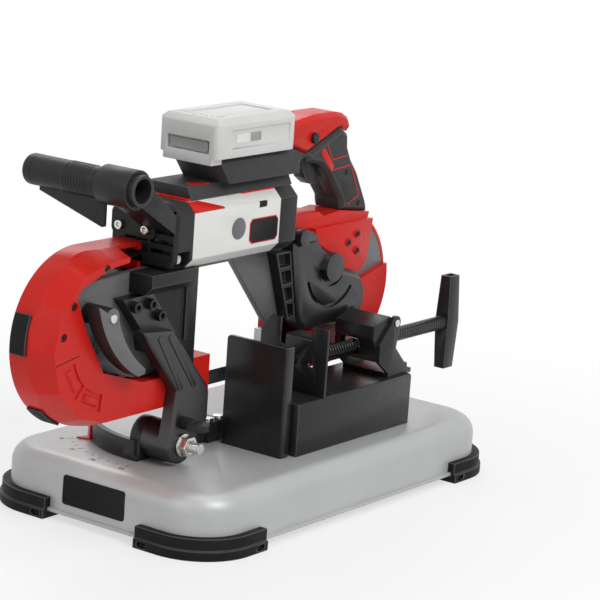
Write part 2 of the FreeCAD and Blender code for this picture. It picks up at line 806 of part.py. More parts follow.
def make_tilt_nut():
    """Zinc washer and nut that hold the arm on the tilt bolt."""
    washer_y = arm_front - fit_gap - washer_thick
    nut_y = washer_y - tilt_nut_height
    washer = rod("washer_disc", "Y", (pivot_x, washer_y, pivot_z), washer_thick, washer_radius)
    nut = hex_bar("nut_hex", "Y", (pivot_x, nut_y, pivot_z), tilt_nut_height, tilt_flats)
    solids = []
    for bar, y, length in ((washer, washer_y, washer_thick), (nut, nut_y, tilt_nut_height)):
        bore = rod(bar.Name + "_bore", "Y", (pivot_x, y, pivot_z), length, tilt_bolt_radius)
        solids.append(cut(bar.Name + "_cut", bar, [bore]))
    node("tilt_nut", group("tilt_nut_set", solids))


# Gooseneck arm: from the tilt pivot up to the saw frame

knob_rise = size("knob_rise", 20.5)
knob_stud_radius = size("knob_stud_radius", 4)
knob_stud_depth = size("knob_stud_depth", 10)
knob_collar_radius = size("knob_collar_radius", 6)
knob_collar = size("knob_collar", 12)
knob_wing_half = size("knob_wing_half", 9.5)
knob_wing_thick = size("knob_wing_thick", 6)
knob_wing_length = size("knob_wing_length", 15)
arm_right = size("arm_right", 36)
arm_bend_low = size("arm_bend_low", 18.5)
arm_bend_high = size("arm_bend_high", 47.5)
arm_round = size("arm_round", 4)
arm_bolt_radius = size("arm_bolt_radius", 3)
arm_bolt_head_radius = size("arm_bolt_head_radius", 5.2)
arm_bolt_head = size("arm_bolt_head", 6)
arm_bolt_socket = size("arm_bolt_socket", 5)

arm_mount = (pivot_x, wheel_z)
arm_plate = profile("arm_plate", arm_mount, [(-42, -17), (-2, -17), (-2, -3), (-35, 36), (-76, 35), (-46, 1)])
arm_bolt_places = profile("arm_bolt", arm_mount, [(-62, 27.5), (-41, 27.5), (-28, 15.5)])
arm_shoulder = profile("arm_shoulder", arm_mount, [(-21, 3), (-64, 7)])
arm_elbow = profile("arm_elbow", (pivot_x, pivot_z), [(-10, 51.5), (-14, 23.5)])
knob_z = pivot_z + knob_rise


def make_gooseneck_arm():
    body = add_body("gooseneck_arm")
    outline = [
        (pivot_x, pivot_z - barrel_radius, barrel_radius), (pivot_x + barrel_radius, pivot_z, barrel_radius),
        (pivot_x + arm_right, pivot_z + arm_bend_low), (pivot_x + arm_right, pivot_z + arm_bend_high),
        *arm_shoulder, *arm_elbow, (pivot_x - barrel_radius, pivot_z),
    ]
    pad(body, "XZ", [outline], arm_front, arm_back)
    fillet(body, barrel_radius, edge_along(1, near(0, pivot_x + arm_right), near(2, pivot_z + arm_bend_high)))
    fillet(body, arm_round, edge_at(1, arm_front))
    pad(body, "XZ", [("circle", pivot_x, pivot_z, barrel_radius)], arm_back, barrel_back)
    pad(body, "XZ", [arm_plate], arm_back, plate_front)
    pocket(body, "XZ", [("circle", pivot_x, pivot_z, tilt_bolt_radius + run_gap)], arm_front, barrel_back)
    holes = [("circle", x, z, arm_bolt_radius) for x, z in arm_bolt_places]
    pocket(body, "XZ", holes, arm_back, plate_front)
    stud = ("circle", pivot_x, knob_z, knob_stud_radius + run_gap)
    pocket(body, "XZ", [stud], arm_front, arm_front + knob_stud_depth + fit_gap)
    node("gooseneck_arm", body)


def make_arm_bolts():
    bolts = []
    for x, z in arm_bolt_places:
        shank = rod("arm_shank", "Y", (x, arm_back, z), plate_front - arm_back, arm_bolt_radius)
        head = rod("arm_head", "Y", (x, arm_back - arm_bolt_head, z), arm_bolt_head, arm_bolt_head_radius)
        top = (x, arm_back - arm_bolt_head, z)
        socket = hex_bar("arm_socket", "Y", top, arm_bolt_head / 2, arm_bolt_socket)
        bolts.append(cut("arm_bolt", fuse("arm_bolt_blank", [shank, head]), [socket]))
    node("arm_bolts", group("arm_bolt_set", bolts))


def make_wing_knob():
    body = add_body("wing_knob")
    pad(body, "XZ", [("circle", 0, 0, knob_stud_radius)], arm_front, arm_front + knob_stud_depth)
    collar_front = arm_front - fit_gap - knob_collar
    pad(body, "XZ", [("circle", 0, 0, knob_collar_radius)], collar_front, arm_front - fit_gap)
    pad(body, "XZ", [("circle", 0, 0, knob_stud_radius)], arm_front - fit_gap, arm_front)
    wing_front = collar_front - knob_wing_length
    half = knob_wing_half
    wing = [
        (-half, collar_front), (-half, wing_front + half), (0, wing_front, half),
        (half, wing_front + half, half), (half, collar_front), (0, collar_front + knob_collar_radius),
    ]
    pad(body, "XY", [wing], -knob_wing_thick / 2, knob_wing_thick / 2)
    node("wing_knob", body, (pivot_x, 0, knob_z))


make_swivel_bracket()
make_scale_pointer()
make_swivel_bolt()
make_hub_bolts()
make_tilt_bolt()
make_tilt_nut()
make_gooseneck_arm()
make_arm_bolts()
make_wing_knob()


# Saw frame, wheel covers and guides

cover_front = size("cover_front", -25)
cover_back = size("cover_back", 20)
cover_length = size("cover_length", 119)
facet_radius = size("facet_radius", 72.5)
facet_count = 6
panel_inner = size("panel_inner", 46)
panel_outer = size("panel_outer", 62)
panel_deep = size("panel_deep", 1.5)
panel_spans = ((size("panel_left_start", 195), size("panel_left_end", 228)),
               (size("panel_low_start", 232), size("panel_low_end", 262)))
throat_rise = size("throat_rise", 47)
slope_start = size("slope_start", 178.5)
slope_end = size("slope_end", 120.5)
slope_drop = size("slope_drop", 20)
plate_drop = size("plate_drop", 42.5)
plate_start = size("plate_start", 198)
plate_end = size("plate_end", 50)
carriage_length = size("carriage_length", 14)
carriage_height = size("carriage_height", 18)
carriage_travel = size("carriage_travel", 7)
carriage_lip = size("carriage_lip", 2.5)
axle_radius = size("axle_radius", 6)
guide_thick = size("guide_thick", 16)
guide_back = size("guide_back", 12)
guide_rise = size("guide_rise", 46.5)
guide_slot = size("guide_slot", 1.5)
guard_length = size("guard_length", 88.5)
front_cap_reach = size("front_cap_reach", 59)
tunnel_half = size("tunnel_half", 9)
tunnel_room = size("tunnel_room", 5.5)
tail_corner = size("tail_corner", 8)
bumper_front = size("bumper_front", 0)
bumper_back = size("bumper_back", 18)
lip_x = size("lip_x", 22)
hinge_radius = size("hinge_radius", 4)

cover_low = wheel_z - cover_radius
cover_high = wheel_z + cover_radius
cover_right = idler_x + cover_length
cavity_radius = cover_radius - cover_wall
throat_top = wheel_z + throat_rise
plate_low = wheel_z - plate_drop
plate_top = head_floor - fit_gap - run_gap
plate_arc = guard_radius - cover_wall
guide_top = cover_low + guide_rise
guard_left = drive_x - guard_length
guard_cavity = guard_radius - guard_wall
front_cap_left = idler_x + front_cap_reach
blade_centre_z = wheel_z - band_radius
band_low = blade_centre_z - band_width / 2
band_high = blade_centre_z + band_width / 2
tunnel_y = (blade_y - tunnel_half, blade_y + tunnel_half)
tunnel_z = (wheel_z + band_radius - tunnel_room, wheel_z + band_radius + tunnel_room)
mouth_z = (band_low - cover_wall / 2, band_high + cover_wall)
hinge_x, hinge_z = profile("hinge", idler, [(-18, 27)])[0]

opening_edge = profile("opening_edge", idler, [
    (48, -44), (-6, -27), (-31, 13), (-46, 46), (-39, 53), (-2, 66), (22, 68),
])
frame_edge = profile("frame_edge", idler, [(-38, 52.5), (-45, 46), (-30, 13), (-5, -26)])


def make_saw_frame():
    """Cast plate between the wheels, with the tension slot and the drive shaft bore."""
    body = add_body("saw_frame")
    outline = [
        *frame_edge, (opening_edge[0][0], plate_low), (cover_right, plate_low), (cover_right, throat_top),
        (drive_x - slope_start, throat_top), (drive_x - slope_end, wheel_z - slope_drop),
        polar(drive, plate_arc, plate_start), (*polar(drive, plate_arc, 270), plate_arc),
        (*polar(drive, plate_arc, 0), plate_arc), (*polar(drive, plate_arc, plate_end), plate_arc),
        (drive_x, plate_top), (front_cap_left, plate_top),
    ]
    half = carriage_height / 2 + fit_gap
    left = idler_x - carriage_length / 2 - fit_gap
    right = idler_x + carriage_length / 2 + carriage_travel + fit_gap
    slot = rectangle((left, right), (wheel_z - half, wheel_z + half))
    bore = ("circle", drive_x, wheel_z, axle_radius + run_gap)
    pin = ("circle", hinge_x, hinge_z, hinge_radius)
    pad(body, "XZ", [outline, slot, bore, pin], plate_front, plate_back)
    node("saw_frame", body)


def cover_form():
    """Faceted outer form of the front cover: flats that lean back to the round drum."""
    body = add_body("cover_flats")
    turn = 180 // facet_count
    drum_radius = cover_radius / math.cos(math.radians(turn / 2))
    sections = []
    for y, radius in ((cover_front, facet_radius), (bumper_front, drum_radius)):
        corners = [polar(idler, radius, 90 + turn * count) for count in range(facet_count + 1)]
        corners += [(drive_x, wheel_z - radius), (drive_x, wheel_z + radius)]
        sections.append(add_sketch(body, "XZ", [corners], -y))
    loft = body.newObject("PartDesign::AdditiveLoft", "cover_flats_loft")
    loft.Profile = sections[0]
    loft.Sections = sections[1:]
    loft.Ruled = True
    body.Tip = loft
    x = (idler_x - cover_radius, drive_x)
    drum = block("cover_drum", x, (bumper_front, cover_back), (cover_low, cover_high))
    return fuse("cover_form", [body, drum])


def make_front_cover():
    """Wheel cover: a drum open to the right, with a C shaped band round its front opening."""
    body = add_body("cover_shell")
    left_arcs = [(idler_x - cover_radius, wheel_z, cover_radius), (idler_x, cover_low, cover_radius)]
    step_x = front_cap_left - fit_gap
    step_z = plate_top
    drum = [(cover_right, cover_low), (cover_right, step_z), (step_x, step_z), (step_x, cover_high),
            (idler_x, cover_high)] + left_arcs
    pad(body, "XZ", [drum], plate_back, cover_back)
    tail = cover_right + guide_thick + 2 * cover_wall
    band = [
        (tail - tail_corner, cover_low), (tail, cover_low + tail_corner), (tail, guide_top),
        (cover_right + fit_gap, guide_top), (cover_right + fit_gap, opening_edge[0][1]), *opening_edge,
        (idler_x + lip_x, cover_high), (idler_x, cover_high),
    ] + left_arcs
    pad(body, "XZ", [band], cover_front, plate_back)
    panels = [sector(idler, panel_inner, panel_outer, start, end) for start, end in panel_spans]
    pocket(body, "XZ", panels, cover_front, cover_front + panel_deep)
    inside = cover_right - cover_wall
    hollow = [
        (inside, wheel_z - cavity_radius), (inside, step_z - cover_wall),
        (step_x - cover_wall, step_z - cover_wall), (step_x - cover_wall, wheel_z + cavity_radius),
        (idler_x, wheel_z + cavity_radius), (idler_x - cavity_radius, wheel_z, cavity_radius),
        (idler_x, wheel_z - cavity_radius, cavity_radius),
    ]
    pocket(body, "XZ", [hollow], plate_back, cover_back - cover_wall)
    for right, height in ((cover_right, mouth_z), (step_x, tunnel_z)):
        pocket(body, "YZ", [rectangle(tunnel_y, height)], right - cover_wall - fit_gap, right + fit_gap)
    node("front_cover", common("front_cover_cut", body, cover_form()))


bumper_spans = ((size("bumper_left_start", 158), size("bumper_left_end", 184)),
                (size("bumper_low_start", 226), size("bumper_low_end", 246)))


def make_cover_bumpers():
    bumpers = []
    for start, end in bumper_spans:
        body = add_body("bumper")
        rim = sector(idler, cover_radius, cover_radius + bumper_proud, start, end)
        pad(body, "XZ", [rim], bumper_front, bumper_back)
        bumpers.append(body)
    node("cover_bumpers", group("bumper_set", bumpers))


skirt_front = size("skirt_front", -19)
skirt_left = size("skirt_left", 80.5)
skirt_rise = size("skirt_rise", 6)
skirt_end = size("skirt_end", 12)
corner_turn = size("corner_turn", 300)
rim_start = size("rim_start", 218)
room_turn = size("room_turn", 65)
boss_radius = size("boss_radius", 26)
boss_turn = size("boss_turn", 25)
boss = profile("boss", drive, [(-7.5, -9)])[0]


def make_rear_guard():
    """Cover of the driven wheel. The frame plate closes its front, and a skirt runs under the gear casing."""
    body = add_body("rear_guard")
    top = polar(drive, guard_radius, guard_turn)
    outer = [
        (guard_left, cover_low), (drive_x, cover_low), polar(drive, guard_radius, corner_turn),
        (*polar(drive, guard_radius, 0), guard_radius), (*top, guard_radius), (guard_left, top[1]),
    ]
    pad(body, "XZ", [outer], plate_back, cover_back)
    inner = plate_arc + fit_gap
    rim = [
        polar(drive, guard_radius, rim_start), (*polar(drive, guard_radius, corner_turn), guard_radius),
        (*top, guard_radius), polar(drive, inner, guard_turn),
        (*polar(drive, inner, corner_turn), -inner), (*polar(drive, inner, rim_start), -inner),
    ]
    pad(body, "XZ", [rim], plate_front, plate_back)
    low = cover_low + skirt_rise
    notch = boss_radius + fit_gap
    skirt = [
        (drive_x - skirt_left, low), (drive_x, low), polar(drive, guard_cavity, corner_turn),
        (*polar(drive, guard_cavity, skirt_end), guard_cavity), polar(boss, notch, boss_turn),
        (*polar(boss, notch, 270), -notch), (drive_x - skirt_left, boss[1] - notch),
    ]
    pad(body, "XZ", [skirt], skirt_front, plate_front)
    left = guard_left + guard_wall
    floor = cover_low + guard_wall
    roof = polar(drive, guard_cavity, room_turn)
    hollow = [
        (left, floor), (drive_x - run_gap, floor), polar(drive, guard_cavity, corner_turn),
        (*polar(drive, guard_cavity, 0), guard_cavity), (*roof, guard_cavity), (left, roof[1]),
    ]
    pocket(body, "XZ", [hollow], plate_back, cover_back - guard_wall)
    pocket(body, "YZ", [rectangle(tunnel_y, mouth_z)], guard_left, left)
    node("rear_guard", body)


def make_guide(label, left, lead_left):
    """Guide block: the band runs on edge in its slot, with its back against the slot's end."""
    body = add_body(label)
    pad(body, "YZ", [rectangle((plate_back, guide_back), (cover_low, guide_top))], left, left + guide_thick)
    half = guide_slot / 2
    slot = rectangle((blade_y - half, blade_y + half), (cover_low, band_high + fit_gap))
    pocket(body, "YZ", [slot], left, left + guide_thick)
    lead = rectangle((blade_y - cover_wall, blade_y + cover_wall), (cover_low, band_high + cover_wall))
    pocket(body, "YZ", [lead], lead_left, lead_left + guide_thick / 2)
    node(label, body)


# Front column between the frame and the arm

column_reach = size("column_reach", 36)
column_nose = size("column_nose", -40)
column_nose_right = size("column_nose_right", 99)
column_shelf_drop = size("column_shelf_drop", 19)
rib_left = size("rib_left", 99)
rib_width = size("rib_width", 10)
rib_rise = size("rib_rise", 30)
arm_gap = size("arm_gap", 1)

column_front = cover_front
column_right = cover_right
column_left = idler_x + column_reach
column_shelf = head_floor - column_shelf_drop


def make_front_column():
    body = add_body("front_column")
    edge = arm_plate[2][0] + 2 * fit_gap
    shoulder = arm_plate[3]
    lower = [
        (edge, plate_low), (column_right, plate_low), (column_right, plate_top), (column_left, plate_top),
        (column_left, column_shelf), (shoulder[0] + arm_gap, shoulder[1] + arm_gap),
        (edge, arm_plate[2][1] + arm_gap),
    ]
    pad(body, "XZ", [lower], column_front, plate_front)
    nose = rectangle((column_left, idler_x + column_nose_right), (column_shelf, plate_top))
    pad(body, "XZ", [nose], column_nose, plate_front)
    slant = (column_front - column_nose) / 2
    chamfer(body, slant, edge_along(0, near(1, column_nose), near(2, column_shelf)))
    left = idler_x + rib_left
    rib = rectangle((left, left + rib_width), (plate_low + rib_rise, plate_top))
    pad(body, "XZ", [rib], column_front - rib_width / 3, column_front)
    node("front_column", body)


# Motor housing with its two end caps, work light, top cover and battery dock

housing_front = size("housing_front", -45)
housing_back = size("housing_back", 31)
housing_height = size("housing_height", 59.5)
housing_bevel = size("housing_bevel", 9)
housing_wall = size("housing_wall", 3)
front_cap_length = size("front_cap_length", 24)
rear_cap_length = size("rear_cap_length", 30)
rear_cap_reach = size("rear_cap_reach", 122.5)
motor_radius = size("motor_radius", 20)
motor_y = size("motor_y", -14)
motor_rise = size("motor_rise", 36)
bulkhead = size("bulkhead", 5)
vent_count = 5
vent_height = size("vent_height", 4)
vent_pitch = size("vent_pitch", 9)
vent_length = size("vent_length", 26)
vent_rise = size("vent_rise", 14)
round_cap_radius = size("round_cap_radius", 10)
cap_slot_half = size("cap_slot_half", 6)
cap_slot_radius = size("cap_slot_radius", 3)
light_radius = size("light_radius", 4)
light_depth = size("light_depth", 4)
light_well = size("light_well", 10)
light_room = size("light_room", 14)

housing_low = head_floor + fit_gap
housing_high = housing_low + housing_height
housing_left = front_cap_left + front_cap_length
rear_cap_right = drive_x - rear_cap_reach
housing_right = rear_cap_right - rear_cap_length
motor_z = housing_low + motor_rise
round_cap_x, round_cap_z = profile("round_cap", (housing_left, housing_low), [(65, 29.5)])[0]
cap_slot_x, cap_slot_z = profile("cap_slot", (housing_right, housing_low), [(-26, 48.5)])[0]
light_x, light_z = profile("light", (front_cap_left, housing_low), [(12, 9.5)])[0]
light_frame = profile("light_frame", (front_cap_left, housing_low), [
    (3, 3.5), (20, 3.5), (20, 17.5), (3, 17.5),
])


def housing_section(inset):
    front, back = housing_front + inset, housing_back - inset
    low, high = housing_low + inset, housing_high - inset
    slant = housing_bevel - inset / 3
    return [
        (front + slant, low), (back - slant, low), (back, low + slant), (back, high - slant),
        (back - slant, high), (front + slant, high), (front, high - slant), (front, low + slant),
    ]


def band_tunnel(body, left, right):
    """Let the return run of the band through a wall."""
    pocket(body, "YZ", [rectangle(tunnel_y, tunnel_z)], left, right)


def make_motor_housing():
    body = add_body("motor_housing")
    inner = housing_section(housing_wall)
    pad(body, "YZ", [housing_section(as_dim(0)), inner], housing_left, housing_right)
    seat = ("circle", motor_y, motor_z, motor_radius)
    for left in (housing_left + bulkhead, housing_right - 3 * bulkhead):
        pad(body, "YZ", [inner, seat], left, left + bulkhead)
        band_tunnel(body, left, left + bulkhead)
    recess = ("circle", round_cap_x, round_cap_z, round_cap_radius)
    slot = rectangle((cap_slot_x - cap_slot_half, cap_slot_x + cap_slot_half),
                     (cap_slot_z - cap_slot_radius, cap_slot_z + cap_slot_radius))
    pocket(body, "XZ", [recess, slot], housing_front, housing_front + housing_wall / 2)
    node("motor_housing", body)


def make_housing_cap():
    body = add_body("housing_cap")
    disc = ("circle", round_cap_x, round_cap_z, round_cap_radius)
    pad(body, "XZ", [disc], housing_front - housing_wall / 6, housing_front + housing_wall / 2)
    node("housing_cap", body)


def make_front_cap():
    """Vented end cap in front of the motor, with the well of the work light in its face."""
    body = add_body("front_cap")
    pad(body, "YZ", [housing_section(as_dim(0))], front_cap_left, housing_left)
    chamfer(body, housing_wall, edge_at(0, front_cap_left))
    room = rectangle((housing_front + light_room, housing_back - housing_bevel),
                     (housing_low + housing_bevel, housing_high - housing_wall))
    pocket(body, "YZ", [room], front_cap_left + 2 * housing_wall, housing_left)
    slots = []
    for count in range(vent_count):
        low = housing_low + vent_rise + count * vent_pitch
        for side in (-1, 1):
            middle = motor_y + side * (vent_length / 2 + housing_wall / 2)
            y = (middle - vent_length / 2, middle + vent_length / 2)
            slots.append(rectangle(y, (low, low + vent_height)))
    pocket(body, "YZ", slots, front_cap_left, front_cap_left + 2 * housing_wall)
    band_tunnel(body, front_cap_left, housing_left)
    pocket(body, "XZ", [light_frame], housing_front, housing_front + light_well)
    node("front_cap", body)


def make_work_light():
    body = add_body("work_light")
    back = housing_front + light_well
    pad(body, "XZ", [("circle", light_x, light_z, light_radius)], back - light_depth, back)
    fillet(body, light_depth / 5, edge_at(1, back - light_depth))
    node("work_light", body)


def make_rear_cap():
    body = add_body("rear_cap")
    pad(body, "YZ", [housing_section(as_dim(0))], housing_right, rear_cap_right)
    chamfer(body, housing_bevel / 2, edge_at(0, rear_cap_right))
    pocket(body, "YZ", [housing_section(housing_wall)], housing_right, rear_cap_right - 2 * housing_wall)
    band_tunnel(body, housing_right, rear_cap_right)
    node("rear_cap", body)


def make_motor():
    """Sealed motor can with its stub shaft."""
    body = add_body("motor")
    can_right = housing_right - bulkhead
    pad(body, "YZ", [("circle", motor_y, motor_z, motor_radius)], housing_left + bulkhead, can_right)
    shaft = motor_radius / 5
    pad(body, "YZ", [("circle", motor_y, motor_z, shaft)], can_right, can_right + 2 * bulkhead)
    node("motor", body)


top_cover_height = size("top_cover_height", 12)
top_cover_inset = size("top_cover_inset", 6)
top_cover_end = size("top_cover_end", 2)
top_cover_slope = size("top_cover_slope", 6)
board_thick = size("board_thick", 2)
dock_reach = size("dock_reach", 120)
dock_half = size("dock_half", 27)
dock_height = size("dock_height", 25)
dock_neck = size("dock_neck", 14)
wedge_half = size("wedge_half", 17)
battery_length = size("battery_length", 116)
battery_end = size("battery_end", 20)
battery_y = size("battery_y", -16)
battery_half = size("battery_half", 34)
battery_height = size("battery_height", 36)
battery_bevel = size("battery_bevel", 6)
skirt_length = size("skirt_length", 15)
skirt_height = size("skirt_height", 6)
latch_half = size("latch_half", 24)
latch_low = size("latch_low", 4)
latch_high = size("latch_high", 16)
latch_deep = size("latch_deep", 4)
label_inset = size("label_inset", 21)
label_end = size("label_end", 10)
label_low = size("label_low", 9)
label_high = size("label_high", 25)
label_deep = size("label_deep", 1.5)
roof_inset = size("roof_inset", 16)

roof_half = (housing_back - housing_front) / 2 - housing_bevel
housing_y = (housing_back + housing_front) / 2
top_cover_left = housing_left + top_cover_inset
top_cover_right = rear_cap_right - top_cover_end
dock_low = housing_high + top_cover_height
dock_top = dock_low + dock_height
dock_left = rear_cap_right - dock_reach
battery_right = rear_cap_right - battery_end
battery_left = battery_right - battery_length
battery_low = dock_top + fit_gap
battery_front = battery_y - battery_half
battery_high = battery_low + battery_height
dock_wedge = profile("dock_wedge", head, [
    (-132.5, 72), (-123.5, 72), (-106.5, 66), (-74.5, 79.5), (-103, 89.5), (-132.5, 95.3),
])


def make_top_cover():
    body = add_body("top_cover")
    roof = roof_half - top_cover_slope
    section = [
        (housing_y - roof_half, housing_high), (housing_y + roof_half, housing_high),
        (housing_y + roof, dock_low), (housing_y - roof, dock_low),
    ]
    pad(body, "YZ", [section], top_cover_left, top_cover_right)
    inside = roof - housing_wall
    bay = rectangle((top_cover_left + housing_bevel, top_cover_right - housing_bevel),
                    (housing_y - inside, housing_y + inside))
    pocket(body, "XY", [bay], housing_high, dock_low - housing_wall)
    node("top_cover", body)


def make_control_board():
    inside = roof_half - top_cover_slope - 2 * housing_wall
    x = (top_cover_left + 2 * housing_bevel, top_cover_right - 2 * housing_bevel)
    y = (housing_y - inside, housing_y + inside)
    node("control_board", block("board_plate", x, y, (housing_high, housing_high + board_thick)))


def make_battery_dock():
    """Dock under the battery, with a wedge that carries the upper end of the rear handle."""
    body = add_body("battery_dock")
    right = dock_wedge[1][0]
    outline = [
        (dock_left + dock_neck, dock_low), (right, dock_low), (right, dock_top - dock_neck / 2),
        (battery_right, dock_top), (dock_left, dock_top), (dock_left, dock_top - dock_neck / 2),
    ]
    pad(body, "XZ", [outline], battery_y - dock_half, battery_y + dock_half)
    chamfer(body, dock_neck / 3, edge_along(0, near(2, dock_top)))
    pad(body, "XZ", [dock_wedge], blade_y - wedge_half, blade_y + wedge_half)
    node("battery_dock", body)


def make_battery():
    """Battery pack that slides off the dock towards -X."""
    body = add_body("battery")
    y = (battery_front, battery_y + battery_half)
    pad(body, "YZ", [rectangle(y, (battery_low, battery_high))], battery_left, battery_right)
    chamfer(body, battery_bevel, edge_at(2, battery_high))
    fillet(body, battery_bevel, edge_along(2))
    skirt = rectangle((y[0] + battery_bevel, y[1] - battery_bevel), (battery_low - skirt_height, battery_low))
    pad(body, "YZ", [skirt], battery_left, battery_left + skirt_length)
    latch = rectangle((battery_y - latch_half, battery_y + latch_half),
                      (battery_low + latch_low, battery_low + latch_high))
    pocket(body, "YZ", [latch], battery_left, battery_left + latch_deep)
    label = rectangle((battery_left + label_inset, battery_right - label_end),
                      (battery_low + label_low, battery_low + label_high))
    pocket(body, "XZ", [label], battery_front, battery_front + label_deep)
    roof = rectangle((battery_left + roof_inset, battery_right - roof_inset),
                     (y[0] + roof_inset, y[1] - roof_inset))
    pocket(body, "XY", [roof], battery_high - label_deep, battery_high)
    node("battery", body)


# Front handle: open tube across the machine on a bracket

tube_front = size("tube_front", -50)
tube_back = size("tube_back", 80)
tube_radius = size("tube_radius", 14)
tube_bore = size("tube_bore", 11)
tube_bore_depth = size("tube_bore_depth", 60)
strap_front = size("strap_front", -44)
strap_back = size("strap_back", -8)
strap_thick = size("strap_thick", 3.5)
web_low = size("web_low", 34)
fin_thick = size("fin_thick", 6)
fin_drop = size("fin_drop", 24)

tube_x, tube_z = profile("tube", (idler_x, head_floor), [(4, 80)])[0]


def make_front_tube():
    body = add_body("front_tube")
    pad(body, "XZ", [("circle", tube_x, tube_z, tube_radius)], tube_front, tube_back)
    fillet(body, tube_radius / 3, edge_at(1, tube_back))
    pocket(body, "XZ", [("circle", tube_x, tube_z, tube_bore)], tube_front, tube_front + tube_bore_depth)
    node("front_tube", body)


def make_handle_bracket():
    """Strap round the tube with a web to the motor end cap and a fin under the tube."""
    body = add_body("handle_bracket")
    outer = tube_radius + strap_thick
    pad(body, "XZ", [("circle", tube_x, tube_z, outer)], strap_front, strap_back)
    web = [
        (tube_x - outer / 2, tube_z - outer / 2), (tube_x + outer / 2, tube_z - outer),
        (front_cap_left, housing_low + web_low), (front_cap_left, housing_high - housing_bevel),
        (tube_x + outer / 2, tube_z + outer / 2),
    ]
    pad(body, "XZ", [web], strap_front, strap_back)
    low = tube_z - tube_radius - fin_drop
    fin_end = tube_back - tube_radius
    fin_tip = tube_z - tube_radius - fin_thick / 2
    fin = [(strap_back, low), (fin_end, fin_tip), (fin_end, tube_z), (strap_back, tube_z)]
    pad(body, "YZ", [fin], tube_x - fin_thick / 2, tube_x + fin_thick / 2)
    pocket(body, "XZ", [("circle", tube_x, tube_z, tube_radius)], tube_front, tube_back)
    node("handle_bracket", body)


# Gear casing in front of the driven wheel, with the slotted column to its left

casing_front = size("casing_front", -30)
casing_bevel = size("casing_bevel", 4)
bulge_proud = size("bulge_proud", 6)
bulge_radius = size("bulge_radius", 14)
lug_radius = size("lug_radius", 8)
groove_deep = size("groove_deep", 3)
groove_width = size("groove_width", 4)
groove_spans = ((size("groove_low", 18), size("groove_low_start", 190), size("groove_low_end", 320)),
                (size("groove_high", 39), size("groove_high_start", 198), size("groove_high_end", 322)))
ladder_front = size("ladder_front", -25)
ladder_deep = size("ladder_deep", 8)
ladder_rung = size("ladder_rung", 4)
ladder_count = 4

casing_foot = profile("casing_foot", drive, [(-82.5, -31), (-7.5, -35)])
casing_side = profile("casing_side", drive, [(-20.5, 21), (-28.5, 30), (-55.5, 46)])
casing_left = profile("casing_left", drive, [(-102.5, 49), (-88.5, -23)])
casing_crest = profile("casing_crest", head, [(-66.5, -0.5), (-102.5, -0.5)])
casing_lug = profile("casing_lug", head, [(-102.5, -1), (-66.5, -1), (-76.5, 8), (-97.5, 12)])
bulge = profile("bulge", drive, [(-44.5, 27)])[0]
lug = profile("lug", head, [(-96.5, 5)])[0]
groove_centre = profile("groove_centre", drive, [(-40.5, 29)])[0]
ladder = profile("ladder", drive, [(-102, -18), (-89.8, -18), (-103.3, 49), (-126.5, 49)])


def make_gear_casing():
    body = add_body("gear_casing")
    outline = [
        *casing_foot, (boss[0] + boss_radius, boss[1], boss_radius),
        (*polar(boss, boss_radius, 2 * boss_turn), boss_radius), *casing_side, *casing_crest, *casing_left,
    ]
    pad(body, "XZ", [outline], casing_front + casing_bevel, plate_front)
    bevel(body, outline, casing_front + casing_bevel, casing_front)
    pad(body, "XZ", [casing_lug], casing_front, blade_y - grip_half - fit_gap)
    proud = casing_front - bulge_proud
    pad(body, "XZ", [("circle", *bulge, bulge_radius)], proud, casing_front + casing_bevel)
    pad(body, "XZ", [("circle", *lug, lug_radius)], proud, casing_front + casing_bevel)
    for radius, start, end in groove_spans:
        groove = sector(groove_centre, radius, radius + groove_width, start, end)
        pocket(body, "XZ", [groove], casing_front, casing_front + groove_deep)
    shaft_room = axle_radius + 2 * fit_gap
    pocket(body, "XZ", [("circle", drive_x, wheel_z, shaft_room)], casing_front + casing_bevel, plate_front)
    node("gear_casing", body)


def between(start, end, share):
    """Point part of the way from one place to another."""
    return tuple(first + (last - first) * share for first, last in zip(start, end))


def make_rear_column():
    """Slotted column that closes the frame between the throat and the gear casing."""
    body = add_body("rear_column")
    pad(body, "XZ", [ladder], ladder_front, plate_front)
    right_low, right_high, left_high, left_low = ladder[1], ladder[2], ladder[3], ladder[0]
    height = left_high[1] - left_low[1]
    rung = ladder_rung / height
    windows = []
    for count in range(ladder_count):
        low = as_dim(count) / ladder_count + rung / 2
        high = as_dim(count + 1) / ladder_count - rung / 2
        corners = [between(left_low, left_high, low), between(right_low, right_high, low),
                   between(right_low, right_high, high), between(left_low, left_high, high)]
        insets = (ladder_rung / 2, -ladder_rung / 2, -ladder_rung / 2, ladder_rung / 2)
        windows.append([(corner[0] + inset, corner[1]) for corner, inset in zip(corners, insets)])
    pocket(body, "XZ", windows, ladder_front, ladder_front + ladder_deep)
    node("rear_column", body)


# Rear handle: base over the driven wheel, grip in two halves, cap, trigger, lock off button and switch

grip_half = size("grip_half", 18)
grip_bevel = size("grip_bevel", 4)
base_front = size("base_front", -24)
base_rise = size("base_rise", 8)
trigger_half = size("trigger_half", 7)
lock_radius = size("lock_radius", 5)
lock_travel = size("lock_travel", 3)
lock_depth = size("lock_depth", 10)
switch_half = size("switch_half", 8)
dome_room = size("dome_room", 3)
dome_turn = size("dome_turn", 50)

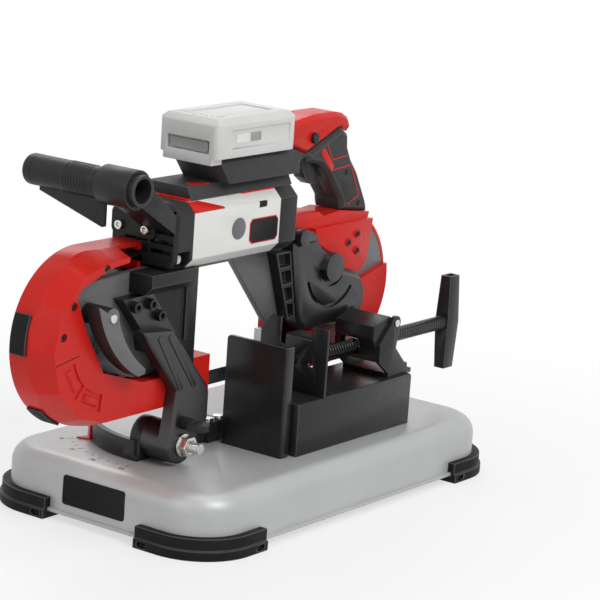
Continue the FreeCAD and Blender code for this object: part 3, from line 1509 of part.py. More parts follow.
base_block = profile("base_block", head, [
    (30.5, 0), (34.5, 13), (-16.5, 19.5), (-42.5, 17), (-50.5, 22), (-78.5, 24),
])
base_end = profile("base_end", (rear_cap_right, head_floor), [(0.3, 20), (0.3, 0)])
base_apron = profile("base_apron", drive, [
    (-64.5, 56.5), (-54.5, 47.2), (-27.5, 31.2), (-19.5, 22.2), (6.5, 14.8), (15.5, 14), (24.5, 25),
])
grip_outline = profile("grip", head, [
    (-12.5, 19.3), (33.5, 13.3), (28.5, 26), (11.5, 55), (-0.5, 69), (-7.5, 82), (-8.5, 94), (-20.5, 101),
    (-72.5, 80.5), (-72.5, 72), (-50.5, 68), (-36.5, 56), (-24.5, 41), (-14.5, 30),
])
cap_outline = profile("handle_cap", head, [
    (-140.5, 97.3), (-102.5, 89.8), (-74.2, 80.3), (-21, 101.3), (-8.5, 96), (-4.5, 101), (-8.5, 110),
    (-18.5, 115), (-30.5, 117), (-62.5, 117), (-102.5, 112), (-140.5, 107),
])
trigger_outline = profile("trigger", head, [
    (-69.5, 75), (-68.5, 65), (-61.5, 54), (-50.5, 47), (-40.5, 48), (-42.5, 60), (-46.5, 74),
])
trigger_slot = profile("trigger_slot", head, [(-72.5, 43), (-32.5, 43), (-32.5, 79), (-72.5, 79)])
switch_low, switch_high = profile("switch", head, [(-30.5, 56), (-14.5, 78)])
lock_x, lock_z = profile("lock", head, [(-65.5, 95)])[0]


def make_handle_base():
    """Foot of the rear handle: it bridges the driven wheel and laps over the frame plate."""
    body = add_body("handle_base")
    pad(body, "XZ", [base_block + base_end], blade_y - grip_half, blade_y + grip_half)
    rise = head_floor + base_rise
    apron = base_apron + [(base_block[0][0], rise), (base_apron[0][0], rise)]
    pad(body, "XZ", [apron], base_front, plate_front)
    room = band_radius + dome_room
    dome = [polar(drive, room, dome_turn), (*polar(drive, room, 90), room),
            (*polar(drive, room, 180 - dome_turn), room)]
    pocket(body, "XZ", [dome], plate_back, cover_back - cover_wall)
    band_tunnel(body, rear_cap_right, drive_x)
    node("handle_base", body)


def make_grip_half(label, inside, outside):
    """One half of the grip, bevelled round its outer face."""
    body = add_body(label)
    step = grip_bevel if outside.value > inside.value else -grip_bevel
    low, high = sorted((inside, outside - step), key=lambda place: place.value)
    pad(body, "XZ", [grip_outline], low, high)
    bevel(body, grip_outline, outside - step, outside)
    bay = rectangle((switch_low[0], switch_high[0]), (switch_low[1], switch_high[1]))
    for room, half in ((trigger_slot, trigger_half + fit_gap), (bay, switch_half)):
        reach = half if outside.value > inside.value else -half
        low, high = sorted((inside, inside + reach), key=lambda place: place.value)
        pocket(body, "XZ", [room], low, high)
    node(label, body)


def make_handle_cap():
    """Top of the handle, from the battery to the heel of the grip."""
    body = add_body("handle_cap")
    front = blade_y - wedge_half
    back = blade_y + wedge_half
    pad(body, "XZ", [cap_outline], front + grip_bevel, back - grip_bevel)
    bevel(body, cap_outline, front + grip_bevel, front)
    bevel(body, cap_outline, back - grip_bevel, back)
    hole = ("circle", lock_x, lock_z, lock_radius + run_gap)
    pocket(body, "XZ", [hole], front, front + lock_depth + lock_travel)
    node("handle_cap", body)


def make_trigger():
    body = add_body("trigger")
    pad(body, "XZ", [trigger_outline], blade_y - trigger_half, blade_y + trigger_half)
    node("trigger", body)


def make_lock_off_button():
    body = add_body("lock_off_button")
    face = blade_y - wedge_half
    front = face - lock_travel - fit_gap
    pad(body, "XZ", [("circle", lock_x, lock_z, lock_radius)], front, face + lock_depth)
    fillet(body, lock_radius / 4, edge_at(1, front))
    node("lock_off_button", body)


def make_switch():
    y = (blade_y - switch_half, blade_y + switch_half)
    case = block("switch_case", (switch_low[0], switch_high[0]), y, (switch_low[1], switch_high[1]))
    node("switch", case)


# Wheels, tension carriage and lever, band

tyre_thick = size("tyre_thick", 2.5)
wheel_rim = size("wheel_rim", 8)
wheel_web = size("wheel_web", 4)
wheel_hub = size("wheel_hub", 15)
wheel_hole = size("wheel_hole", 11)
wheel_hole_count = 5
axle_back = size("axle_back", 12)
band_lead = size("band_lead", 25)
lever_front = size("lever_front", -42)
lever_back = size("lever_back", -26)
lever_boss = size("lever_boss", 9)

wheel_back = blade_y + wheel_width / 2
tread_radius = band_radius - band_thick / 2 - run_gap
wheel_radius = tread_radius - tyre_thick
lever_outline = profile("lever", (hinge_x, hinge_z), [
    (-19, 13), (-14, -1), (39, -58, 108), (48, -57), (48, -52), (9, -3, -98),
])


def make_wheel(label, centre, bore):
    """Turned wheel with a thin web and round openings."""
    body = add_body(label)
    half = wheel_width / 2
    web = wheel_web / 2
    rim = wheel_radius - wheel_rim
    section = [
        (-half, bore), (half, bore), (half, wheel_hub), (web, wheel_hub), (web, rim), (half, rim),
        (half, wheel_radius), (-half, wheel_radius), (-half, rim), (-web, rim), (-web, wheel_hub),
        (-half, wheel_hub),
    ]
    revolve(body, [section])
    ring = (wheel_hub + rim) / 2
    holes = []
    for count in range(wheel_hole_count):
        x, z = polar((as_dim(0), as_dim(0)), ring, 90 + 360 * count / wheel_hole_count)
        holes.append(("circle", x, z, wheel_hole))
    pocket(body, "XZ", holes, -half, half)
    node(label, body, (centre[0], blade_y, centre[1]))


def make_tyre(label, centre):
    body = add_body(label)
    half = wheel_width / 2
    revolve(body, [rectangle((-half, half), (wheel_radius, tread_radius))])
    node(label, body, (centre[0], blade_y, centre[1]))


def make_idler_carriage():
    """Block that slides in the frame's slot and carries the idler axle."""
    body = add_body("idler_carriage")
    x = (idler_x - carriage_length / 2, idler_x + carriage_length / 2)
    half = carriage_height / 2
    front = plate_front - fit_gap
    pad(body, "XZ", [rectangle(x, (wheel_z - half, wheel_z + half))], front, plate_back)
    lip = half + carriage_lip
    pad(body, "XZ", [rectangle(x, (wheel_z - lip, wheel_z + lip))], front - carriage_lip, front)
    pocket(body, "XZ", [("circle", idler_x, wheel_z, axle_radius)], plate_front, plate_back)
    node("idler_carriage", body)


def make_axles():
    collar = axle_radius + carriage_lip
    idler_pin = rod("idler_pin", "Y", (idler_x, plate_front, wheel_z), axle_back - plate_front, axle_radius)
    start = wheel_back + fit_gap
    keeper = rod("idler_keeper", "Y", (idler_x, start, wheel_z), axle_back - start, collar)
    node("idler_axle", fuse("idler_axle_set", [idler_pin, keeper]))
    shaft_front = casing_front + casing_bevel + fit_gap
    length = wheel_back - shaft_front
    node("drive_shaft", rod("drive_pin", "Y", (drive_x, shaft_front, wheel_z), length, axle_radius))


def make_tension_lever():
    """Curved lever on the frame's hinge pin, swung aside to slacken the band."""
    body = add_body("tension_lever")
    pad(body, "XZ", [lever_outline], lever_front, lever_back)
    pad(body, "XZ", [("circle", hinge_x, hinge_z, lever_boss)], lever_front, plate_front - fit_gap)
    hole = ("circle", hinge_x, hinge_z, hinge_radius + run_gap)
    pocket(body, "XZ", [hole], lever_front, plate_front)
    node("tension_lever", body)


def make_lever_pin():
    start = lever_front - hinge_radius / 2
    pin = rod("lever_pin_bar", "Y", (hinge_x, start, hinge_z), plate_back - start, hinge_radius)
    node("lever_pin", pin)


def section_at(x, turn):
    """Corners of the band's cross section on its lower run, turned about the run."""
    half_w, half_t = band_width.value / 2, band_thick.value / 2
    angle = math.radians(turn)
    corners = []
    for across, up in ((-half_w, -half_t), (half_w, -half_t), (half_w, half_t), (-half_w, half_t)):
        y = blade_y.value + across * math.cos(angle) - up * math.sin(angle)
        z = blade_centre_z.value + across * math.sin(angle) + up * math.cos(angle)
        corners.append(FreeCAD.Vector(x, y, z))
    return Part.makePolygon(corners + corners[:1])


def twisted_run(start, end, first, last):
    """Length of the lower run between two places, turning from one angle to another."""
    steps = 6
    wires = []
    for step in range(steps + 1):
        share = step / steps
        wires.append(section_at(start + (end - start) * share, first + (last - first) * share))
    return Part.makeLoft(wires, True, True)


def half_ring(centre, side):
    """Length of the band round one wheel."""
    low, high = (blade_y - band_width / 2).value, band_width.value
    outer, inner = (band_radius + band_thick / 2).value, (band_radius - band_thick / 2).value
    axis = FreeCAD.Vector(0, 1, 0)
    at = FreeCAD.Vector(centre, low, wheel_z.value)
    ring = Part.makeCylinder(outer, high, at, axis).cut(Part.makeCylinder(inner, high, at, axis))
    reach = outer + band_thick.value
    corner = FreeCAD.Vector(centre - reach if side < 0 else centre, low, wheel_z.value - reach)
    return ring.common(Part.makeBox(reach, high, 2 * reach, corner))


def make_band():
    """Closed saw band: flat on the wheels, twisted a quarter turn to stand on edge between the guides."""
    start, end = idler_x.value, drive_x.value
    first_flat = (idler_x + band_lead).value
    last_flat = (drive_x - band_lead).value
    guide_in = (cover_right + guide_thick / 4).value
    guide_out = (guard_left - guide_thick / 4).value
    low = (blade_y - band_width / 2).value
    top = FreeCAD.Vector(start, low, (wheel_z + band_radius - band_thick / 2).value)
    top_run = Part.makeBox(end - start, band_width.value, band_thick.value, top)
    solids = [
        half_ring(start, -1), half_ring(end, 1), top_run,
        twisted_run(start, first_flat, 0, 0), twisted_run(first_flat, guide_in, 0, 90),
        twisted_run(guide_in, guide_out, 90, 90), twisted_run(guide_out, last_flat, 90, 0),
        twisted_run(last_flat, end, 0, 0),
    ]
    feature = doc.addObject("Part::Feature", "band")
    feature.Shape = solids[0].fuse(solids[1:])
    feature.addProperty("App::PropertyLength", "Length")
    bind(feature, "Length", band_length)
    node("saw_band", feature)


make_saw_frame()
make_front_cover()
make_cover_bumpers()
make_rear_guard()
make_guide("front_guide", cover_right, cover_right)
make_guide("rear_guide", guard_left - guide_thick, guard_left - guide_thick / 2)
make_front_column()
make_motor_housing()
make_housing_cap()
make_front_cap()
make_work_light()
make_rear_cap()
make_motor()
make_top_cover()
make_control_board()
make_battery_dock()
make_battery()
make_front_tube()
make_handle_bracket()
make_gear_casing()
make_rear_column()
make_handle_base()
make_grip_half("handle_front_half", blade_y, blade_y - grip_half)
make_grip_half("handle_back_half", blade_y, blade_y + grip_half)
make_handle_cap()
make_trigger()
make_lock_off_button()
make_switch()
make_wheel("idler_wheel", idler, axle_radius + run_gap)
make_tyre("idler_tyre", idler)
make_wheel("drive_wheel", drive, axle_radius)
make_tyre("drive_tyre", drive)
make_idler_carriage()
make_axles()
make_tension_lever()
make_lever_pin()
make_band()


doc.recompute()
faults = [item.Name for item in doc.Objects if {"Invalid", "Error"} & set(item.State)]
for item in nodes:
    if item.Shape.isNull() or not item.Shape.isValid() or not item.Shape.Solids:
        faults.append(item.Label)
if faults:
    raise RuntimeError("failed objects: " + ", ".join(faults))

os.makedirs("parts", exist_ok=True)
for item in nodes:
    item.Shape.exportStep(os.path.join("parts", item.Label + ".step"))
print(len(nodes), "pieces")
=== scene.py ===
"""Looks of a portable band saw on its mitre stand, built around the fixed CAD frame."""

import json
import math

import bpy
from bpy.props import FloatProperty, FloatVectorProperty, IntProperty, PointerProperty
from mathutils import Matrix, Vector
from mathutils.bvhtree import BVHTree

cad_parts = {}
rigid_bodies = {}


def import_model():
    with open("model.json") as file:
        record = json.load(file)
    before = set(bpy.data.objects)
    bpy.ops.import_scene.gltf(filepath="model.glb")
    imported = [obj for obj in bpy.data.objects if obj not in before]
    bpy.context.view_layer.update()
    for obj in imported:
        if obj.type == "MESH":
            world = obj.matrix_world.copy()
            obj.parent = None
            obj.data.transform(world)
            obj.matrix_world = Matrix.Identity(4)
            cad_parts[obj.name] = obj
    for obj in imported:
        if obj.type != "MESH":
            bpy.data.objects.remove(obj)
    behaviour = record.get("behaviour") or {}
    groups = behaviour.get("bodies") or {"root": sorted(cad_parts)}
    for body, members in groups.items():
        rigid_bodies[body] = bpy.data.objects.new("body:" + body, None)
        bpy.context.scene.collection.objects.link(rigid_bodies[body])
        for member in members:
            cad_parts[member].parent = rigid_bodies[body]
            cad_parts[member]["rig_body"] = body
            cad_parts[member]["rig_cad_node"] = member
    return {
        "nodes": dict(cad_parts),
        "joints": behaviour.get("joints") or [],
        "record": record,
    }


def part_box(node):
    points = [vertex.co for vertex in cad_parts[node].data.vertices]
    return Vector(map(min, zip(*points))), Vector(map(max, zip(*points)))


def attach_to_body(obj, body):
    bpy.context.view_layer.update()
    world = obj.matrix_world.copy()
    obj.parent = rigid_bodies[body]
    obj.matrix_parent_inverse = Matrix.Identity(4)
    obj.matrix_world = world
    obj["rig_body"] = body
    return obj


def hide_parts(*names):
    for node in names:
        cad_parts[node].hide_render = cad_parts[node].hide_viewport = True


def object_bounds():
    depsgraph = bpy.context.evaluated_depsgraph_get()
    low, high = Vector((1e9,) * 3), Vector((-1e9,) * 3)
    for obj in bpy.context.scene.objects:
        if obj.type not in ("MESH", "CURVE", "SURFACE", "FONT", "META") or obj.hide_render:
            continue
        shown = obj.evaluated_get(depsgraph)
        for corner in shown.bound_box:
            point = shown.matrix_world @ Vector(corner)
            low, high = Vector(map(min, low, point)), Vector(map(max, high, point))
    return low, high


bl_info = {
    "name": "Band saw dresser",
    "version": (1, 0, 0),
    "blender": (4, 5, 0),
    "location": "View3D > Sidebar > Band saw",
    "description": "Adds the finishes and small details of a portable band saw on its stand",
    "category": "Add Mesh",
}

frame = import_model()
cad_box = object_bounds()
record = frame["record"]
body_of_node = {node: body for body, nodes in record["behaviour"]["bodies"].items() for node in nodes}
slot_of_node = {row["node"]: row["material_slot"] for row in record["subparts"]}
swivel_point = Vector(next(joint["pos_m"] for joint in frame["joints"] if joint["name"] == "mitre_swivel"))
idler_point = sum(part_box("idler_wheel"), Vector()) / 2
drive_point = sum(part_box("drive_wheel"), Vector()) / 2

# Headings, the turns from the front to them, and axis numbers
FRONT = Vector((0, -1, 0))
LEFT = Vector((-1, 0, 0))
UP = Vector((0, 0, 1))
UNTURNED = (0, 0, 0)
TO_LEFT = (0, 0, -math.pi / 2)
TO_UP = (-math.pi / 2, 0, 0)
TO_BACK = (0, 0, math.pi)
ALONG_Y, ALONG_Z = 1, 2

# A distance in millimetres that is outside the saw on every side
OUTSIDE = 900

# Cosines from which a face counts as looking one way, and an edge as running along an axis
FACING = 0.9
RUNNING = 0.99

# Angles in degrees between faces that still count as one smooth surface
FACETED = 11
CAST = 20
MOULDED = 25
SMALL = 32

# Depth of fine relief in metres, and the length after which a wave texture of scale 1 repeats
RELIEF = 0.0002
WAVE_LENGTH = math.pi / 10

# Sockets of a Mix node that blends two colours
MIX_FACTOR, MIX_FIRST, MIX_SECOND, MIX_RESULT = 0, 6, 7, 2


# Settings that a user would change

class BandSawColours(bpy.types.PropertyGroup):
    """Colours of the finishes"""
    red: FloatVectorProperty(name="Red", description="Red of the covers", subtype="COLOR",
                             default=(0.58, 0.014, 0.008))
    black: FloatVectorProperty(name="Black", description="Black plastic and powder coat", subtype="COLOR",
                               default=(0.017, 0.017, 0.018))
    dark: FloatVectorProperty(name="Dark grey", description="Painted castings", subtype="COLOR",
                              default=(0.070, 0.070, 0.074))
    grip: FloatVectorProperty(name="Grip grey", description="Soft grip and top cover", subtype="COLOR",
                              default=(0.040, 0.040, 0.042))
    plate: FloatVectorProperty(name="Plate grey", description="Bare cast plate of the saw frame",
                               subtype="COLOR", default=(0.13, 0.13, 0.135))
    pan: FloatVectorProperty(name="Pan grey", description="Powder coat of the pan", subtype="COLOR",
                             default=(0.47, 0.48, 0.48))
    housing: FloatVectorProperty(name="Housing", description="Pale motor housing", subtype="COLOR",
                                 default=(0.74, 0.74, 0.715))
    pale: FloatVectorProperty(name="Pale plastic", description="Battery pack", subtype="COLOR",
                              default=(0.62, 0.615, 0.605))
    zinc: FloatVectorProperty(name="Zinc", description="Plated bolts and nuts", subtype="COLOR",
                              default=(0.66, 0.655, 0.62))
    blade: FloatVectorProperty(name="Blade", description="Steel of the saw band", subtype="COLOR",
                               default=(0.36, 0.36, 0.37))


class BandSawSizes(bpy.types.PropertyGroup):
    """Sizes of the small details"""
    edge_round: FloatProperty(name="Edge round", description="Radius on the edges of moulded pieces",
                              subtype="DISTANCE", unit="LENGTH", default=0.0008)
    sheet_round: FloatProperty(name="Sheet round", description="Radius on the edges of bent sheet",
                               subtype="DISTANCE", unit="LENGTH", default=0.0005)
    screw_radius: FloatProperty(name="Screw radius", description="Radius of the cover screw heads",
                                subtype="DISTANCE", unit="LENGTH", default=0.0027)
    screw_height: FloatProperty(name="Screw height", description="Height of the cover screw heads",
                                subtype="DISTANCE", unit="LENGTH", default=0.0022)
    tooth_pitch: FloatProperty(name="Tooth pitch", description="Pitch of the teeth on the saw band",
                               subtype="DISTANCE", unit="LENGTH", default=0.0018)
    thread_pitch: FloatProperty(name="Thread pitch", description="Pitch of the vise screw",
                                subtype="DISTANCE", unit="LENGTH", default=0.004)
    tube_rings: IntProperty(name="Tube rings", description="Grip rings round the front handle", default=9)
    lens: FloatProperty(name="Lens", description="Focal length of the camera", subtype="DISTANCE_CAMERA",
                        default=155.3)
    floor_size: FloatProperty(name="Floor", description="Side of the floor", subtype="DISTANCE",
                              unit="LENGTH", default=14.0)


def colours():
    return bpy.context.scene.band_saw_colours


def sizes():
    return bpy.context.scene.band_saw_sizes


def mm(*values):
    """A place or size in millimetres of the CAD frame, as metres."""
    return Vector(values) / 1000


# Materials: every finish is a Principled shader with grain, tone and gloss from noise in object space

def new_material(name):
    material = bpy.data.materials.new(name)
    material.use_nodes = True
    tree = material.node_tree
    place = tree.nodes.new("ShaderNodeTexCoord")
    return material, tree, shader_of(tree), place.outputs["Object"]


def shader_of(tree):
    return next(node for node in tree.nodes if node.type == "BSDF_PRINCIPLED")


def place_of(tree):
    return next(node for node in tree.nodes if node.type == "TEX_COORD").outputs["Object"]


def noise(tree, vector, scale, detail, rough=0.55):
    node = tree.nodes.new("ShaderNodeTexNoise")
    node.inputs["Scale"].default_value = scale
    node.inputs["Detail"].default_value = detail
    node.inputs["Roughness"].default_value = rough
    tree.links.new(vector, node.inputs["Vector"])
    return node.outputs["Fac"]


def mapped(tree, vector, centre=(0, 0, 0), stretch=(1, 1, 1)):
    """Centre and stretch a pattern on a piece."""
    node = tree.nodes.new("ShaderNodeMapping")
    node.inputs["Location"].default_value = [-part * scale for part, scale in zip(centre, stretch)]
    node.inputs["Scale"].default_value = stretch
    tree.links.new(vector, node.inputs["Vector"])
    return node.outputs["Vector"]


def spread(tree, value, low, high, start=0.3, end=0.7):
    """Map a value from one range, by default the middle of a noise, to another."""
    node = tree.nodes.new("ShaderNodeMapRange")
    node.inputs["From Min"].default_value = start
    node.inputs["From Max"].default_value = end
    node.inputs["To Min"].default_value = low
    node.inputs["To Max"].default_value = high
    tree.links.new(value, node.inputs["Value"])
    return node.outputs["Result"]


def tint(tree, factor, first, second):
    node = tree.nodes.new("ShaderNodeMix")
    node.data_type = "RGBA"
    node.inputs[MIX_FIRST].default_value = (*first, 1)
    node.inputs[MIX_SECOND].default_value = (*second, 1)
    tree.links.new(factor, node.inputs[MIX_FACTOR])
    return node.outputs[MIX_RESULT]


def bump(tree, height, strength, distance):
    """Add relief on top of any that the shader already has."""
    shader = shader_of(tree)
    node = tree.nodes.new("ShaderNodeBump")
    node.inputs["Strength"].default_value = strength
    node.inputs["Distance"].default_value = distance
    tree.links.new(height, node.inputs["Height"])
    under = shader.inputs["Normal"].links
    if under:
        tree.links.new(under[0].from_socket, node.inputs["Normal"])
    tree.links.new(node.outputs["Normal"], shader.inputs["Normal"])


def finish(name, colour, gloss, grain, relief, tone=0.06, metallic=0.0, specular=0.5):
    """A moulded, painted or plated surface.

    gloss is the range of roughness, grain the size of the texture in millimetres, relief its strength,
    and tone the share by which the colour varies."""
    if name in bpy.data.materials:
        return bpy.data.materials[name]
    material, tree, shader, place = new_material(name)
    shader.inputs["Metallic"].default_value = metallic
    shader.inputs["Specular IOR Level"].default_value = specular
    clouds = noise(tree, place, scale=28.0, detail=4.0)
    lighter = [min(1.0, part * (1 + tone)) for part in colour]
    darker = [part * (1 - tone) for part in colour]
    tree.links.new(tint(tree, spread(tree, clouds, 0, 1), darker, lighter), shader.inputs["Base Color"])
    smudge = noise(tree, place, scale=75.0, detail=5.0, rough=0.65)
    tree.links.new(spread(tree, smudge, *gloss), shader.inputs["Roughness"])
    texture = noise(tree, place, scale=1000.0 / grain, detail=2.0, rough=0.5)
    bump(tree, texture, relief, RELIEF)
    return material


def worn(base, colour, factor, gloss):
    """The same finish on bevelled edges, lighter and smoother: partly polish from handling, partly a painted
    highlight along the edge.
    """
    lighter = [min(1.0, part * factor) for part in colour]
    # The edge colour is the face colour times a factor: partly wear, partly painted highlight.
    return finish(base + "_worn_highlit", lighter, gloss, grain=0.8, relief=0.08, tone=0.14, specular=0.3)


def waves(material, shape, direction, pitch, depth, centre=(0, 0, 0)):
    """Press a thread or turning marks into a finish."""
    tree = material.node_tree
    wave = tree.nodes.new("ShaderNodeTexWave")
    wave.wave_type = shape
    setattr(wave, "bands_direction" if shape == "BANDS" else "rings_direction", direction)
    wave.inputs["Scale"].default_value = WAVE_LENGTH / pitch
    tree.links.new(mapped(tree, place_of(tree), centre), wave.inputs["Vector"])
    bump(tree, wave.outputs["Fac"], 1.0, depth)
    return material


def brushed(material, stretch, relief):
    """Fine grinding lines along a piece."""
    tree = material.node_tree
    lines = noise(tree, mapped(tree, place_of(tree), stretch=stretch), scale=1.0, detail=4.0)
    bump(tree, lines, relief, RELIEF)
    return material


def finishes():
    """The finish of each material slot, and of a few details."""
    paint = colours()
    oxide = (0.03, 0.03, 0.032)
    rubber = (0.007, 0.007, 0.007)
    clear = (0.55, 0.56, 0.55)
    can = (0.35, 0.35, 0.36)
    green = (0.02, 0.12, 0.05)
    tyre = (0.02, 0.02, 0.02)
    label_black = (0.007, 0.007, 0.009)
    label_grey = (0.30, 0.30, 0.295)
    ink = (0.02, 0.02, 0.02)
    return {
        "pan_grey": finish("pan_powder_coat", paint.pan, (0.34, 0.44), 1.1, 0.10, tone=0.03, metallic=0.2),
        "foot_rubber": finish("black_rubber", rubber, (0.50, 0.66), 0.5, 0.18, tone=0.10, specular=0.15),
        "black_steel": finish("black_powder_coat", paint.black, (0.24, 0.36), 0.9, 0.16, tone=0.10,
                              specular=0.3),
        "zinc": finish("zinc_plate", paint.zinc, (0.16, 0.34), 1.6, 0.05, tone=0.08, metallic=1.0),
        "black_screws": finish("black_oxide", oxide, (0.22, 0.36), 1.0, 0.06, tone=0.1, metallic=0.7),
        "dark_casting": finish("dark_casting", paint.dark, (0.34, 0.48), 0.7, 0.22, tone=0.08, specular=0.3),
        "red_plastic": finish("red_moulding", paint.red, (0.26, 0.36), 0.55, 0.07, tone=0.05, specular=0.22),
        "black_plastic": finish("black_moulding", paint.black, (0.34, 0.50), 0.45, 0.16, tone=0.08,
                                specular=0.25),
        "grip_grey": finish("soft_grip", paint.grip, (0.52, 0.66), 0.40, 0.22, specular=0.25),
        "housing_silver": finish("pale_housing", paint.housing, (0.32, 0.42), 0.5, 0.06, tone=0.02,
                                 specular=0.4),
        "pale_plastic": finish("pale_pack", paint.pale, (0.38, 0.5), 0.5, 0.06, tone=0.03, specular=0.4),
        "lens": finish("clear_lens", clear, (0.05, 0.1), 2.0, 0.02, tone=0.02),
        "motor_steel": finish("motor_can", can, (0.3, 0.42), 1.0, 0.05, tone=0.05, metallic=1.0),
        "board_green": finish("circuit_board", green, (0.4, 0.5), 1.0, 0.1),
        "wheel_tyre": finish("wheel_rubber", tyre, (0.55, 0.7), 0.5, 0.15, specular=0.2),
        "blade_steel": finish("blade_steel", paint.blade, (0.28, 0.42), 0.6, 0.1, metallic=1.0),
        "cast_plate": finish("cast_plate", paint.plate, (0.34, 0.46), 0.8, 0.2, tone=0.10, specular=0.4),
        "bare_black": finish("bare_label", label_black, (0.18, 0.26), 1.2, 0.03, tone=0.05, specular=0.12),
        "label_grey": finish("label_grey", label_grey, (0.3, 0.4), 0.8, 0.04, tone=0.04),
        "scale_ink": finish("scale_ink", ink, (0.45, 0.6), 0.6, 0.05, tone=0.1, specular=0.2),
    }


def edge_finishes():
    """The lighter finish of the bevelled edges, partly wear and partly painted highlight, for the slots that
    show it.
    """
    paint = colours()
    return {
        # Factors by which each edge is painted lighter than its face: partly wear, partly painted highlight.
        "black_steel": worn("black_powder_coat", paint.black, 5.0, (0.22, 0.32)),
        "dark_casting": worn("dark_casting", paint.dark, 2.0, (0.26, 0.38)),
        "black_plastic": worn("black_moulding", paint.black, 3.5, (0.28, 0.40)),
        "grip_grey": worn("soft_grip", paint.grip, 1.35, (0.40, 0.55)),
        "red_plastic": worn("red_moulding", paint.red, 1.12, (0.20, 0.30)),
        "foot_rubber": worn("black_rubber", paint.black, 3.0, (0.40, 0.55)),
    }


# Modelling helpers

def deselect():
    if bpy.context.object and bpy.context.object.mode != "OBJECT":
        bpy.ops.object.mode_set(mode="OBJECT")
    bpy.ops.object.select_all(action="DESELECT")


def pick(piece):
    deselect()
    piece.select_set(True)
    bpy.context.view_layer.objects.active = piece


def named(name):
    piece = bpy.context.object
    piece.name = name
    piece.data.name = name
    return piece


def settle(piece, place, turn=UNTURNED):
    """Move and turn a piece, and put that into its mesh."""
    piece.location = place
    piece.rotation_euler = turn
    pick(piece)
    bpy.ops.object.transform_apply(location=True, rotation=True, scale=True)
    return piece


def block(name, size):
    """Block about the origin, as a start."""
    deselect()
    bpy.ops.mesh.primitive_cube_add(size=1)
    piece = named(name)
    piece.scale = size
    return settle(piece, (0, 0, 0))


def disc(name, radius, height, vertices=32, ends="NGON"):
    """Disc about the origin with its axis along Y, as a start."""
    deselect()
    bpy.ops.mesh.primitive_cylinder_add(vertices=vertices, radius=radius, depth=height, end_fill_type=ends)
    return settle(named(name), (0, 0, 0), (math.pi / 2, 0, 0))


def select(piece, mode, test):
    """Open a piece for editing with the faces or edges that pass a test selected."""
    pick(piece)
    bpy.ops.object.mode_set(mode="EDIT")
    bpy.ops.mesh.select_mode(type=mode)
    bpy.ops.mesh.select_all(action="DESELECT")
    bpy.ops.object.mode_set(mode="OBJECT")
    items = piece.data.polygons if mode == "FACE" else piece.data.edges
    for item in items:
        item.select = test(item)
    bpy.ops.object.mode_set(mode="EDIT")


def select_facing(piece, heading):
    """Open a piece for editing with the faces that look one way selected."""
    select(piece, "FACE", lambda face: face.normal.dot(heading) > FACING)


def leave_edit():
    bpy.ops.object.mode_set(mode="OBJECT")


def apply_last(piece):
    """Apply the modifier that a piece was given last."""
    pick(piece)
    bpy.ops.object.modifier_apply(modifier=piece.modifiers[-1].name)


def shade(piece, angle):
    """Shade a piece smooth, apart from edges sharper than an angle."""
    pick(piece)
    bpy.ops.object.shade_smooth_by_angle(angle=math.radians(angle))


def round_corners(piece, axis, radius, segments):
    """Round or chamfer the edges that run along an axis."""
    def runs_along(edge):
        first, second = (piece.data.vertices[index].co for index in edge.vertices)
        return abs((second - first).normalized()[axis]) > RUNNING
    select(piece, "EDGE", runs_along)
    bpy.ops.mesh.bevel(offset=radius, segments=segments, affect="EDGES")
    leave_edit()


def sink(piece, heading, rim, depth):
    """Leave a rim round the faces that look one way and sink the field inside it."""
    select_facing(piece, heading)
    bpy.ops.mesh.inset(thickness=rim)
    bpy.ops.transform.translate(value=-heading * depth)
    leave_edit()


def taper(piece, heading, share, centre):
    """Narrow the faces that look one way about a centre."""
    select_facing(piece, heading)
    bpy.ops.transform.resize(value=share, center_override=centre)
    leave_edit()


def slice_off(piece, place, heading):
    """Cut away what lies beyond a plane and close the cut."""
    select(piece, "FACE", lambda face: True)
    bpy.ops.mesh.bisect(plane_co=place, plane_no=heading, use_fill=True, clear_outer=True)
    leave_edit()


def round_edges(piece, width, angle=SMALL, worn_highlit_edge_slot=-1):
    """Bevel the sharp edges of a piece and shade the rest smooth; the bevel faces can take a lighter edge
    finish, partly wear and partly painted highlight.
    """
    modifier = piece.modifiers.new("edges", "BEVEL")
    modifier.width = width
    modifier.segments = 2
    modifier.limit_method = "ANGLE"
    modifier.angle_limit = math.radians(angle)
    modifier.use_clamp_overlap = True
    modifier.miter_outer = "MITER_ARC"
    # Bevel faces take the lighter edge finish: partly wear, partly painted highlight.
    modifier.material = worn_highlit_edge_slot
    apply_last(piece)
    shade(piece, angle)


def cut(piece, tool):
    """Cut a tool's shape out of a piece."""
    modifier = piece.modifiers.new("cut", "BOOLEAN")
    modifier.object = tool
    modifier.operation = "DIFFERENCE"
    modifier.solver = "EXACT"
    apply_last(piece)
    discard(tool)


def bore(piece, places, radius, depth, angle):
    """Bore round recesses into the front of a piece and shade it again."""
    cut(piece, repeat(disc("bore", radius, 2 * depth), "bores", places))
    shade(piece, angle)


def discard(piece):
    mesh = piece.data
    bpy.data.objects.remove(piece)
    bpy.data.meshes.remove(mesh)


def copy_to(piece, name, place, turn):
    """A copy of a piece with its own mesh, at another place."""
    pick(piece)
    bpy.ops.object.duplicate()
    return settle(named(name), place, turn)


def join(pieces, name):
    deselect()
    for piece in pieces:
        piece.select_set(True)
    bpy.context.view_layer.objects.active = pieces[0]
    if len(pieces) > 1:
        bpy.ops.object.join()
    return named(name)


def repeat(model, name, places, turn=UNTURNED):
    """Copy a model to each place as one piece, and discard the model."""
    piece = join([copy_to(model, name, place, turn) for place in places], name)
    discard(model)
    return piece


